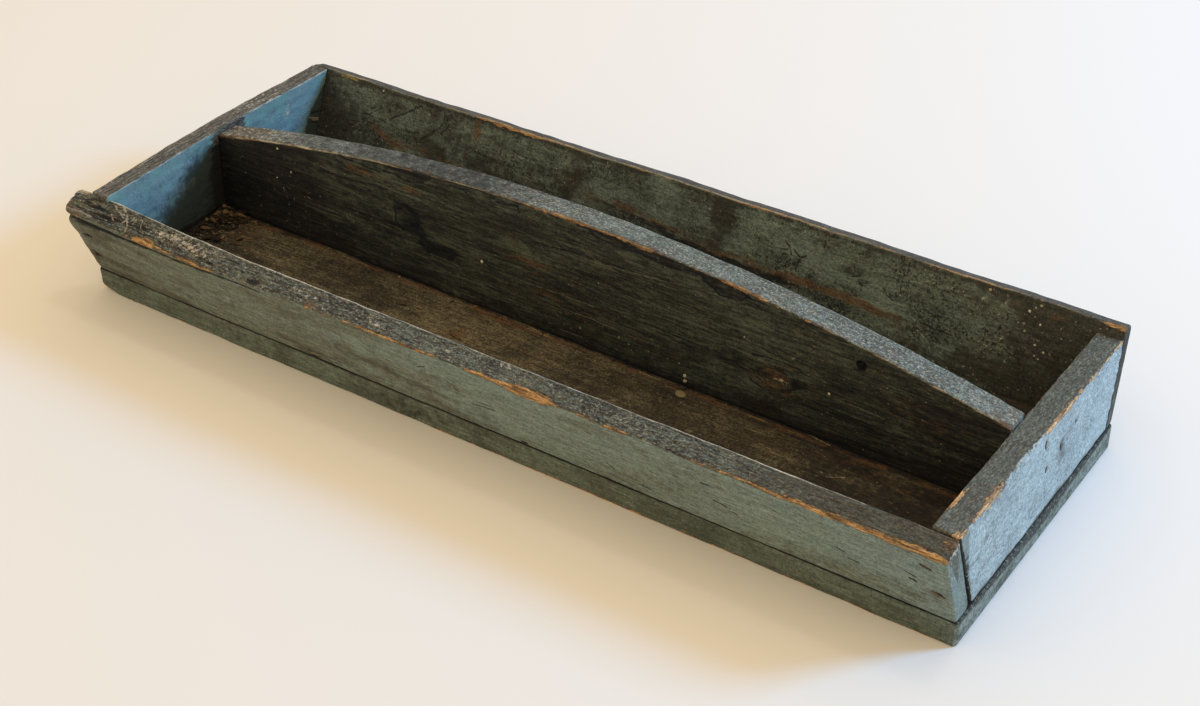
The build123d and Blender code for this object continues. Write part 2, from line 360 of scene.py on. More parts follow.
def useGroup(group, **named):
    made = addNode("ShaderNodeGroup", node_tree=group)
    for key, value in named.items():
        plug(made.inputs[key], value)
    return namedFeeds(made.outputs)


# Old flat paint: two tones in blotches, times 1 + lines + hairs + mottle, with dark grain lines,
# dark pepper that thickens in patches, and pale flecks. Grain shrinks the place along the board.
def makeAgedPaint():
    given = newGroup("agedPaint", "Vector Grain Fibre", "Light Dark Grime Fleck",
                     "Blotches Lines Mottle Pepper Flecks")
    place = given["Vector"]
    brush = vectors("MULTIPLY", place, given["Grain"])
    lines = noiseOf(vectors("MULTIPLY", brush, given["Fibre"]), 600, 3, 0.6)
    hairs, mottle = noiseOf(brush, 640, 4, 0.7), noiseOf(place, 640, 4, 0.7)
    tone = noiseOf(brush, 130, 5, 0.65) * 0.3 + noiseOf(place, 230, 5, 0.72) * 0.2
    tone = noiseOf(place, 17, 5, 0.62, 0.5) * 0.5 + tone
    colour = mixColour(smoothRange(tone, 0.44, 0.58) * given["Blotches"], given["Light"], given["Dark"])
    lift = 1 + ((lines - 0.5) * 2.8 + (hairs - 0.5) * 2.4) * given["Lines"]
    lift = maths("MAXIMUM", lift + (mottle - 0.5) * 3 * given["Mottle"], 0.15)
    colour = multiplied(colour, lift)
    lineMask = smoothRange(lines, 0.56, 0.62) * given["Lines"]
    colour = mixColour(lineMask, colour, given["Grime"])
    worms = maths("ABSOLUTE", noiseOf(place, 330, 4, 0.65, 0.4) - 0.5)
    worms = smoothRange(worms, 0, 0.05, 0.16, 0)
    pepper = noiseOf(place, 620, 3, 0.6) + worms + (noiseOf(place, 38, 4, 0.6) - 0.5) * 0.55
    pepperMask = smoothRange(pepper, 0.58, 0.68) * given["Pepper"]
    colour = mixColour(pepperMask, colour, given["Grime"])
    fleck = smoothRange(noiseOf(place, 560, 2, 0.5), 0.69, 0.73) * given["Flecks"]
    colour = mixColour(fleck, colour, given["Fleck"])
    height = mottle * 0.5 + hairs * (given["Lines"] * 1.2)
    return closeGroup(Colour=colour, Height=height - (lineMask + pepperMask * 0.6))


# Handled top edge: weathered paint from deep to middle grey, chips of the old colour, short dark
# fissures along the grain and pale salt. Fibre shrinks the place less along the board than Grain.
def makeHandledEdge():
    given = newGroup("handledEdge", "Vector Grain Fibre", "Deep Middle Paint Salt Stain",
                     "Painted Salting Fissures Stained Pits")
    place, deep = given["Vector"], given["Deep"]
    fibre = vectors("MULTIPLY", place, given["Fibre"])
    body, broad = noiseOf(fibre, 1000, 5, 0.78), noiseOf(place, 52, 4, 0.6)
    colour = mixColour(smoothRange(body * 0.75 + broad * 0.25, 0.41, 0.59), deep, given["Middle"])
    chip = noiseOf(fibre, 600, 5, 0.75, 0.3) + broad * 0.3
    chipMask = smoothRange(chip, 0.63, 0.7) * given["Painted"]
    colour = mixColour(chipMask, colour, given["Paint"])
    stain = smoothRange(noiseOf(fibre, 130, 5, 0.7), 0.5, 0.62) * given["Stained"]
    colour = mixColour(stain, colour, given["Stain"])
    crack = noiseOf(vectors("MULTIPLY", place, given["Grain"]), 760, 4, 0.68, 0.2)
    crackMask = smoothRange(crack, 0.54, 0.59) * given["Fissures"]
    colour = mixColour(crackMask, colour, deep)
    grit = noiseOf(place, 820, 5, 0.75)
    colour = mixColour(smoothRange(grit, 0.48, 0.36) * given["Pits"], colour, deep)
    salt = grit * 0.4 + noiseOf(fibre, 1000, 4, 0.78, 0.3) * 0.6
    colour = mixColour(smoothRange(salt, 0.52, 0.59) * given["Salting"], colour, given["Salt"])
    return closeGroup(Colour=colour, Height=body * 0.8 + chipMask * 0.3 - crackMask * 1.2)


# Bare softwood: pale early wood with thin darker late-wood lines along the grain, and dirt in it.
def makeBareWood():
    given = newGroup("bareWood", "Vector Grain", "Early Late", "")
    brush = vectors("MULTIPLY", given["Vector"], given["Grain"])
    lines, darkening = noiseOf(brush, 760, 5, 0.68), noiseOf(brush, 340, 4, 0.7)
    colour = mixColour(smoothRange(lines, 0.42, 0.6), given["Early"], given["Late"])
    colour = mixColour(smoothRange(darkening, 0.52, 0.68, 0, 0.8), colour, (0.06, 0.042, 0.025))
    return closeGroup(Colour=colour, Height=1 - lines)


# Broken edge of a mark: a smooth mask is pushed up and down by noise and cut off steeply, so that
# its outline is ragged. Rim is the narrow band just outside the cut.
def makeRaggedMask():
    given = newGroup("raggedMask", "Vector", "", "Mask Scale Ragged Cut Soft")
    grit = noiseOf(given["Vector"], given["Scale"], 5, 0.65) - 0.5
    pushed, low = given["Mask"] + grit * given["Ragged"], given["Cut"] - given["Soft"]
    inside = smoothRange(pushed, low, given["Cut"] + given["Soft"])
    rim = smoothRange(pushed, low - 0.14, low) * (1 - inside)
    return closeGroup(Inside=inside, Rim=rim)


# Stroke: 1 within 0.4 of the width of the straight line between two places, fading to 0 at the
# width, and never less than the strokes before it.
def makeStroke():
    given = newGroup("stroke", "Vector From To", "", "Width Before")
    away = vectors("SUBTRACT", given["Vector"], given["From"])
    way = vectors("SUBTRACT", given["To"], given["From"])
    share = maths("DIVIDE", vectors("DOT_PRODUCT", away, way, output="Value"),
                  vectors("DOT_PRODUCT", way, way, output="Value"))
    share = maths("MINIMUM", maths("MAXIMUM", share, 0), 1)
    gap = vectors("DISTANCE", away, vectors("SCALE", way, Scale=share), output="Value")
    mask = smoothRange(gap, given["Width"] * 0.4, given["Width"], 1, 0)
    return closeGroup(Mask=maths("MAXIMUM", mask, given["Before"]))


agedPaint, handledEdge = makeAgedPaint(), makeHandledEdge()
bareWood, raggedMask, stroke = makeBareWood(), makeRaggedMask(), makeStroke()
print("node groups made")


def emptyMaterial(name):
    material = bpy.data.materials.new(name)
    material.use_nodes = True
    work["tree"] = material.node_tree
    work["tree"].nodes.clear()
    return material, feedOf("ShaderNodeTexCoord", output="Object")


drySkin = {"depth": 0.0006, "roughNoise": (240, 3, 0.6), "spread": 0.1, "shine": 0.3}


# Dry surface: rough, dimly shining, its height as fine relief.
def drySurface(colour, height, place, rough, strength=0.55):
    bump = feedOf("ShaderNodeBump", Strength=strength, Distance=drySkin["depth"], Height=height)
    broad, spread = noiseOf(place, *drySkin["roughNoise"]), drySkin["spread"]
    rough = smoothRange(broad, 0.3, 0.7, rough - spread, rough + spread)
    shine = {"Specular IOR Level": drySkin["shine"]}
    shader = feedOf("ShaderNodeBsdfPrincipled", colour, Roughness=rough, Normal=bump, **shine)
    addNode("ShaderNodeOutputMaterial", shader)


# The ragged edge of each mark: noise scale, raggedness, cut and softness.
markEdges = {
    "inner": (260, 1.2, 0.5, 0.1), "tint": (130, 2.2, 0.5, 0.35), "top": (620, 1.4, 0.5, 0.08),
    "soil": (190, 1.7, 0.55, 0.35), "rust": (210, 2.2, 0.5, 0.3), "dark": (420, 1.3, 0.5, 0.2),
    "bare": (520, 1.9, 0.5, 0.07), "pale": (430, 2.8, 0.62, 0.14), "line": (500, 1.1, 0.45, 0.25),
}
# How strongly the marks cover what lies under them; the boards' own tables say it for tint and for soil, the
# layer of dirt and painted shade.
markAmounts = {"rust": 0.8, "dark": 0.9, "bareRim": 0.6, "pale": 0.8, "line": 0.85}


# A board's whole finish. The marks on its mesh say where each layer lies: inner (the inside's paint),
# tint, top (handled edge), soil (dirt, and in places painted shade and painted cast shadow), rust,
# dark (dark marks, and in places painted shade in creases and gaps), bare (wood worn through), pale
# and line (pale arris, on the front's inner top arris partly a painted highlight).
def boardFinish(name, look):
    material, place = emptyMaterial(name)
    brush, fibre = vectors("MULTIPLY", place, look["grain"]), vectors("MULTIPLY", place, look["fibre"])
    along = {"Vector": place, "Grain": look["grain"]}

    def mark(label, vector):
        scale, ragged, cut, soft = markEdges[label]
        ragged = look.get(label + "Ragged", ragged)
        return useGroup(raggedMask, Mask=attributeOf(label), Vector=vector, Scale=scale, Ragged=ragged,
                        Cut=cut, Soft=soft)

    def paint(side):
        tones = dict(zip(("Light", "Dark", "Grime"), look[side]), Fleck=(0.45, 0.44, 0.38))
        weather = dict(zip(("Blotches", "Lines", "Mottle", "Pepper", "Flecks"), look[side + "Weather"]))
        return useGroup(agedPaint, **along, Fibre=look["fibre"], **tones, **weather)

    def strokesOn(side, lines):
        a, b = look["axes"][side]
        flat = np.zeros(3)
        flat[[a, b]] = 1
        spot, mask = vectors("MULTIPLY", bent, flat), 0
        for width, *numbers in lines:
            points = np.zeros((len(numbers) // 2, 3))
            points[:, [a, b]] = np.reshape(numbers, (-1, 2)) * mm
            for begin, end in zip(points, points[1:]):
                mask = useGroup(stroke, Vector=spot, From=begin, To=end, Width=width * mm, Before=mask)[
                    "Mask"]
        return mask * broken * sides[side]

    face, within = paint("outer"), paint("inner")
    share = mark("inner", place)["Inside"]
    colour = mixColour(share, face["Colour"], within["Colour"])
    height = mixValue(share, face["Height"], within["Height"])
    share = mark("tint", place)["Inside"] * look["tintAmount"]
    colour = mixColour(share, colour, look["tint"])
    if "top" in look:
        edge = useGroup(handledEdge, **along, **{"Fibre": look["fibre"], **look["top"]})
        share = mark("top", fibre)["Inside"]
        colour = mixColour(share, colour, edge["Colour"])
        height = mixValue(share, height, edge["Height"])
    # Soil layer: dirt, and in places painted shade and painted cast shadow.
    colour = mixColour(mark("soil", place)["Inside"] * look["soilAndShadeAmount"], colour, look["soil"])
    for label in ("rust", "dark"):
        share = mark(label, fibre)["Inside"] * markAmounts[label]
        colour = mixColour(share, colour, look[label + "Mark"])
    wood = useGroup(bareWood, **along, Early=look["wood"][0], Late=look["wood"][1])
    worn = mark("bare", fibre)
    colour = mixColour(worn["Rim"] * markAmounts["bareRim"], colour, look["darkMark"])
    colour = mixColour(worn["Inside"], colour, wood["Colour"])
    pale = mark("pale", place)["Inside"]
    colour = mixColour(pale * markAmounts["pale"], colour, look["paleMark"])
    line = mark("line", brush)["Inside"]
    colour = mixColour(line * markAmounts["line"], colour, look["lineMark"])
    inside, onTop = attributeOf("inner"), attributeOf("top")
    sides = {"outer": maths("MAXIMUM", 1 - (inside + onTop), 0), "inner": inside, "top": onTop}
    shift = feedOf("ShaderNodeTexNoise", output="Color", Vector=place, Scale=150, Detail=2)
    bent = vectors("MULTIPLY_ADD", shift, [0.0018] * 3, place)
    bent = vectors("SUBTRACT", bent, [0.0009] * 3)
    broken = smoothRange(noiseOf(place, 480, 3, 0.7), 0.36, 0.48, 0.35, 1)
    for side, tone, amount, lines in look["strokes"]:
        share = strokesOn(side, lines)
        colour = mixColour(share * amount, colour, tone)
        height = height - share * 0.6
    grit = noiseOf(place, 760, 4, 0.75) * 0.6 + noiseOf(fibre, 900, 3, 0.75) * 0.4
    grit = smoothRange(grit, 0.41, 0.59, -0.5, 0.5)
    streaks = smoothRange(noiseOf(brush, 600, 4, 0.7), 0.4, 0.6, -0.5, 0.5)
    lift = 1
    for side, (speckle, streak) in look["grit"].items():
        lift = lift + (grit * speckle + streaks * streak) * sides[side]
    colour = multiplied(colour, maths("MAXIMUM", lift, 0.1))
    height = height - worn["Inside"] + worn["Inside"] * wood["Height"] * 0.8 + pale * 0.4
    drySurface(colour, height, place, look["rough"])
    return material


# Sizes that the boards share, from the CAD boxes and the boards' leans.
def boxOf(node):
    low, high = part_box(node)
    return np.array(low) / mm, np.array(high) / mm


def slopeOf(degrees):
    return math.tan(math.radians(degrees))


def levelThick(thick, degrees):
    return thick / math.cos(math.radians(degrees))


def leaning(foot, slope):
    return lambda height: foot + slope * (height - bottomTop)


def cornersOf(*pairs):
    values = np.broadcast_arrays(*[value for pair in pairs for value in pair])
    return np.stack(values, axis=1).reshape(-1, len(pairs), 2)


bottomLow, bottomHigh = boxOf("bottom_board")
bottomTop = bottomHigh[2]
frontFoot, backFoot = bottomLow[1], bottomHigh[1]
leftFoot, rightFoot = bottomLow[0] + 0.5, bottomHigh[0] - 1
frontLean, backLean, leftLean, rightLean = 15, 20.3, 2, 4
frontThick, backThick, leftThick, rightThick = 15, 9, 14, 16
frontInnerFoot = frontFoot + levelThick(frontThick, frontLean)
backInnerFoot = backFoot - levelThick(backThick, backLean)
leftInnerFoot = leftFoot + levelThick(leftThick, leftLean)
rightInnerFoot = rightFoot - levelThick(rightThick, rightLean)
leftGrow, deepestHole = 1.8, 2.2
dividerLeft, dividerStart, dividerEnd, dividerDrift, dividerHalf = -286, 6.325, -0.175, 0.01124, 9

# How the boards lie: grain and fibre shrink the place along the board, and axes are a side's own two.
alongX = {"grain": (0.1, 1, 1), "fibre": (0.3, 1, 1),
          "axes": {"outer": (0, 2), "inner": (0, 2), "top": (0, 1)}}
alongY = {"grain": (1, 0.1, 1), "fibre": (1, 0.3, 1),
          "axes": {"outer": (1, 2), "inner": (1, 2), "top": (0, 1)}}


# The divider's middle line runs askew: y = start - drift (x - begin).
def dividerAt(x, begin):
    return dividerStart - dividerDrift * (x - begin)


bottomLook = {
    **alongX, "axes": {"inner": (0, 1)},
    "outer": ((0.13, 0.165, 0.134), (0.073, 0.09, 0.066), (0.028, 0.027, 0.019)),
    "outerWeather": (0.9, 0.45, 0.2, 0.4, 0.08),
    "inner": ((0.148, 0.128, 0.078), (0.052, 0.042, 0.025), (0.017, 0.0125, 0.008)),
    "innerWeather": (0.95, 0.4, 0.7, 0.65, 0.35),
    "tint": (0.24, 0.28, 0.25), "tintAmount": 0.9,
    "soil": (0.018, 0.013, 0.008), "soilAndShadeAmount": 0.88, "soilRagged": 1.9,
    "grit": {"outer": (0.45, 0.15), "inner": (0.95, 0.45), "top": (0.6, 0.1)},
    "strokes": [
        ("inner", (0.3, 0.26, 0.17), 0.7, [(0.5, 55, -8.9, 69.4, -9.2),
                (0.5, 162.9, -6.4, 184.4, -10.1), (0.5, 196, -36, 205, -31),
                (0.45, -236, -20, -226, -22), (0.5, 150, -30, 158, -31), (0.5, -28, -6.6, -20, -7.2)]),
        ("inner", (0.02, 0.014, 0.008), 0.9, [(1.6, -113, -31, -108, -30), (0.9, -64, -40, -55, -41),
                (0.8, -99, -34, -92, -35), (0.8, 40, -60, 60, -61), (0.7, -170, -40, -150, -41),
                (0.8, -205, -60, -190, -62)])],
    "darkMark": (0.01, 0.008, 0.006), "rustMark": (0.12, 0.062, 0.03), "paleMark": (0.4, 0.36, 0.26),
    "lineMark": (0.28, 0.17, 0.08), "wood": ((0.42, 0.26, 0.11), (0.2, 0.11, 0.04)),
    "rough": 0.8,
}


def makeBottomBoard():
    length = bottomHigh[0] - bottomLow[0]

    def corners(share):
        x = share * length
        return cornersOf((frontFoot + 0.3 * wander(x, 12, 140), 0),
            (frontFoot + 0.25 * wander(x, 13, 120), bottomTop), (backFoot, bottomTop), (backFoot, 0))

    def wear(share):
        x = share * length
        lower = 1.3 + 0.7 * wander(x, 14, 60) + 6 * near(x, 11)
        return np.stack([lower, 0.5 + 0.2 * wander(x, 15, 40), 0.8 + 0 * x, 1.2 + 0 * x], axis=1)

    board = carriedBoard(length, corners, wear, lambda h: bottomLow[0] - leftGrow + 0 * h,
                         lambda h: bottomHigh[0] + 0 * h, (14, 110, 14, 50), (3, 3, 1.3), (2, 2.4, 0.9))
    x, y, z = board["along"], board["section"][..., 0], board["section"][..., 1]
    top, edge, rightEdge = board["top"], board["outer"], board["endEnd"] > 0.02
    relief = top * roughness(x, y, 16, 60, 14) * 0.14 + edge * roughness(x, z, 17, 50, 6) * 0.12
    relief = relief - 0.8 * edge * blots(x, z, [(-116.8, 15, 4.5, 1.2, 1), (39.8, 15, 3.5, 1.3, 1)])
    foot = near(z, 1.5) * (edge > 0)
    rightLedge = top * rise(x, rightFoot - 0.6, rightFoot + 0.1)
    within = top * rise(y, frontFoot + 13, frontFoot + 14.5) * rise(x, rightFoot - 1, rightFoot - 2)
    outside = top * (1 - within) * (1 - rise(x, rightFoot - 0.6, rightFoot + 0.1))
    dividerFoot = dividerAt(x, dividerLeft) - dividerHalf
    inFront = y < dividerFoot
    points = placed(board, relief)
    marks = {
        "inner": within,
        "tint": rightEdge * (0.62 + 0.3 * roughness(y, z, 24, 14, 6)) + rightLedge * 1.2,
        "bare": foot * (course(x, (-300, 0.3), (-60, 0.35), (30, 0.55), (75, 1.1), (105, 1.1),
                    (130, 0.6), (300, 0.5)) + 0.3 * wander(x, 19, 34))
            + near(np.hypot(x - bottomLow[0], z), 7) * (edge > 0) * 0.5,
        # On the floor the soil is dirt with painted shade: along the feet of the divider and the walls,
        # towards the right end, on the strips under the walls that show in the gaps, and along the front
        # edge under the front board's foot. The dark mark adds painted shade along the divider's foot and on
        # the strips under the walls.
        "soil": within * (0.8 * near(y - dividerFoot, 2.2) + 0.8 * near(y + 86, 6)
                + 0.8 * near(y - dividerFoot - 2 * dividerHalf, 7) + 0.8 * near(x - dividerLeft, 12)
                + 0.75 * near(x - 291, 22) + 0.85 * rise(x, 90, 250) + 0.3 * rise(x, -190, -270)
                + 0.6 * (y > dividerFoot + dividerHalf) + 0.22 * roughness(x, y, 20, 70, 24))
            + 1.2 * outside + edge * (0.5 * near(z - bottomTop, 0.9)
                + blots(x, z, [(-50, 7, 46, 12, 0.56), (-190, 8, 70, 9, 0.32), (52, 8, 40, 9, 0.24)])),
        "dark": within * (0.3 * roughness(x, y, 21, 80, 12) - 0.1 + 0.6 * near(y - dividerFoot, 1))
            + outside * 0.9 + 0.38 * rightEdge + 0.28 * rightLedge,
        "rust": within * inFront * near(y - dividerFoot + 3.4, 2.6) * (0.55 + 0.35 * wander(x, 22, 50))
            + within * blots(x, y, [(-255, -20, 22, 16, 0.4), (150, -60, 60, 8, 0.15),
                    (-61, -37, 9, 6, 0.7), (-59, -10, 12, 4, 0.5), (-38, -11, 10, 4, 0.6),
                    (220, -20, 50, 6, 0.3)]),
        "pale": within * (0.1 + blots(x, y, [(199, -32, 9, 0.7, 0.7, 12), (-268, -25, 22, 22, 0.3)]))
            + 0.24 * rightEdge + 0.04 * rightLedge,
        "line": within * inFront * 0.5 * near(y - dividerFoot + 2.6, 0.8)
            * (0.8 + 0.4 * wander(x, 23, 40)),
    }
    piece = closedSkin("bottomBoard", points, marks)
    finishPiece(piece, boardFinish("bottomBoardFinish", bottomLook), "bottom_board")


makeBottomBoard()

frontLook = {
    "height": 48.5, "overhang": 11.6, **alongX,
    "outer": ((0.148, 0.176, 0.143), (0.108, 0.125, 0.098), (0.045, 0.043, 0.031)),
    "outerWeather": (0.5, 0.4, 0.2, 0.3, 0.12),
    "inner": ((0.12, 0.125, 0.09), (0.055, 0.057, 0.04), (0.022, 0.02, 0.014)),
    "innerWeather": (0.8, 0.5, 0.5, 0.5, 0.15),
    "tint": (0.2, 0.28, 0.27), "tintAmount": 0.55,
    "top": {"Deep": (0.022, 0.019, 0.014), "Middle": (0.125, 0.122, 0.09),
        "Paint": (0.125, 0.165, 0.145), "Salt": (0.34, 0.36, 0.3), "Stain": (0.07, 0.06, 0.045),
        "Painted": 0.65, "Salting": 0.55, "Fissures": 0.9, "Stained": 0.4, "Pits": 0.8,
        "Fibre": (0.4, 1, 1)},
    "soil": (0.06, 0.052, 0.033), "soilAndShadeAmount": 0.7, "soilRagged": 1.7,
    "grit": {"outer": (0.55, 0.3), "inner": (0.5, 0.4), "top": (0.75, 0.3)},
    "strokes": [
        ("outer", (0.3, 0.25, 0.17), 0.8, [(0.45, -119.2, 19.4, -116.8, 20.1, -113.6, 19.2),
                (0.45, 37.6, 19.4, 39.8, 20.3, 43.2, 19.6, 41.2, 18.4)]),
        ("outer", (0.012, 0.01, 0.007), 0.95, [(2.3, -307, 58.2, -297.7, 57.3, -288.1, 56.9),
                (1.5, -288.1, 57, -278.3, 56.9, -264.7, 57.2),
                (1.1, -264.7, 57.2, -244, 57.9, -224.1, 58.3, -202.2, 58.6),
                (0.8, -202.2, 58.6, -178.5, 59.7, -150, 60.2), (0.8, -119, 18.2, -114, 18.3),
                (0.8, 38, 18.4, 42, 18.4)]),
        ("outer", (0.014, 0.012, 0.009), 0.92, [(0.5, -29, 48.9, -22.6, 51.9),
                (0.45, -8.2, 47.6, -3.5, 44, -0.8, 38.2), (0.5, 7, 35.1, 23.9, 37.5),
                (1.2, -301.4, 46.4, -295.2, 46.9, -293.9, 45.4), (1, -298.6, 33, -291.6, 29.9),
                (0.6, 160.8, 48.6, 169.8, 48.2), (0.5, 98, 31.5, 103, 27.5), (0.7, 168, 37, 176, 36),
                (0.6, 177, 33.3, 182, 32.6), (0.6, 241, 39.6, 247, 38.8), (0.5, 248, 34.5, 254.6, 33.8),
                (0.8, 281, 43, 287, 42), (0.8, 283, 39.4, 287, 38.4), (0.6, 296, 36, 303, 34),
                (0.5, 268, 32, 271, 31.4), (0.4, 60, 44, 66, 43.4), (0.4, 128, 40, 133, 39.6),
                (0.4, 205, 50, 210, 49.6), (0.45, 120, 24, 126, 23.4), (0.5, -116.8, 18.2, -112, 18.8),
                (0.4, 210, 28, 214, 27.6), (0.4, 88, 52, 92, 51.5)]),
        ("top", (0.01, 0.008, 0.006), 0.92, [(0.7, -311.6, -107.2, -303.4, -106.4, -294.6, -104.1),
                (1.1, -299.9, -106.7, -295.8, -106.2), (1.5, -291.4, -107.1, -287.3, -106.8),
                (0.6, -287.3, -106.8, -272, -107.5), (1.5, -282, -111.4, -275.1, -111.1),
                (0.7, -296, -111.8, -282, -111.4), (0.6, -229.3, -105.6, -223.2, -105.1),
                (0.6, -223.6, -110.8, -219.9, -109.7), (0.7, -215.2, -108.8, -208.5, -110),
                (0.6, -209.3, -106.2, -204.8, -105.8), (0.5, -250, -112, -228, -112.5),
                (0.5, -262, -108, -244, -108.6), (0.6, -200, -112.6, -186, -113),
                (0.5, -180, -107, -168, -107.6), (0.8, -155, -115.2, -149, -115),
                (0.5, -300, -112.6, -284, -113)]),
        ("top", (0.4, 0.37, 0.32), 0.7, [(0.7, -276.9, -103.1, -273.7, -104.3),
                (0.7, -271.3, -101.8, -267.8, -103.2), (0.8, -265, -105.3, -259.5, -111.4),
                (0.5, -259.5, -111.4, -257.8, -114.8), (0.6, -258.7, -104.8, -258.7, -107.9),
                (0.5, -272, -105, -266, -108), (0.5, -276, -108, -272, -110.5),
                (0.5, -252, -105, -250, -109), (0.7, -220.9, -109.7, -217.8, -105.9, -214.5, -103.4),
                (0.6, -226, -108, -222, -104.5), (0.8, -209.5, -110.9, -205.9, -107.8, -203.9, -104.9),
                (0.6, -213, -106, -210, -103), (0.5, -232, -110, -228, -107),
                (0.6, -192.1, -107.9, -189.3, -105.6),
                (1.2, -311.2, -102.6, -306.4, -101.2, -301, -100), (0.6, 24.3, -103.4, 27.5, -107),
                (0.7, 30, -104, 33, -106), (1.2, -8.6, -110.3, -6.8, -110.9),
                (0.8, -309.8, -114.5, -297.7, -113.9, -287.9, -114.1)])],
    "darkMark": (0.012, 0.01, 0.008), "rustMark": (0.15, 0.09, 0.045), "paleMark": (0.5, 0.45, 0.37),
    "lineMark": (0.58, 0.55, 0.47), "wood": ((0.46, 0.27, 0.11), (0.17, 0.1, 0.042)),
    "rough": 0.72,
    # nail holes and dents: x, z, half length, half width, depth, turn
    "holes": [(-296.5, 46, 3.4, 1.3, 2.2, 12), (-296, 29.7, 3.2, 1.2, 2.2, 12),
        (292.8, 53.2, 3.2, 1.2, 2, -12), (283, 42.6, 2.4, 0.7, 1.2, -6),
        (284.9, 38.7, 2.2, 0.7, 1.2, -4), (299.5, 35, 3, 1.2, 1, -10), (268.8, 31.4, 1.8, 0.8, 0.8),
        (97, 58, 1.4, 0.9, 0.8)],
    "dashes": [(18, 38.8, 8, 0.45, 1), (100.6, 29.7, 5.5, 0.4, 0.8, -34),
        (165.3, 48.4, 4.5, 0.6, 1, -4), (172.3, 36.5, 4, 0.6, 1, -10), (179.6, 33, 3.2, 0.5, 0.8, -8),
        (244, 39.1, 3.6, 0.8, 0.7, -5), (251.2, 34.2, 3.6, 0.7, 0.6, -5), (-40, 50, 4, 0.5, 0.6)],
}


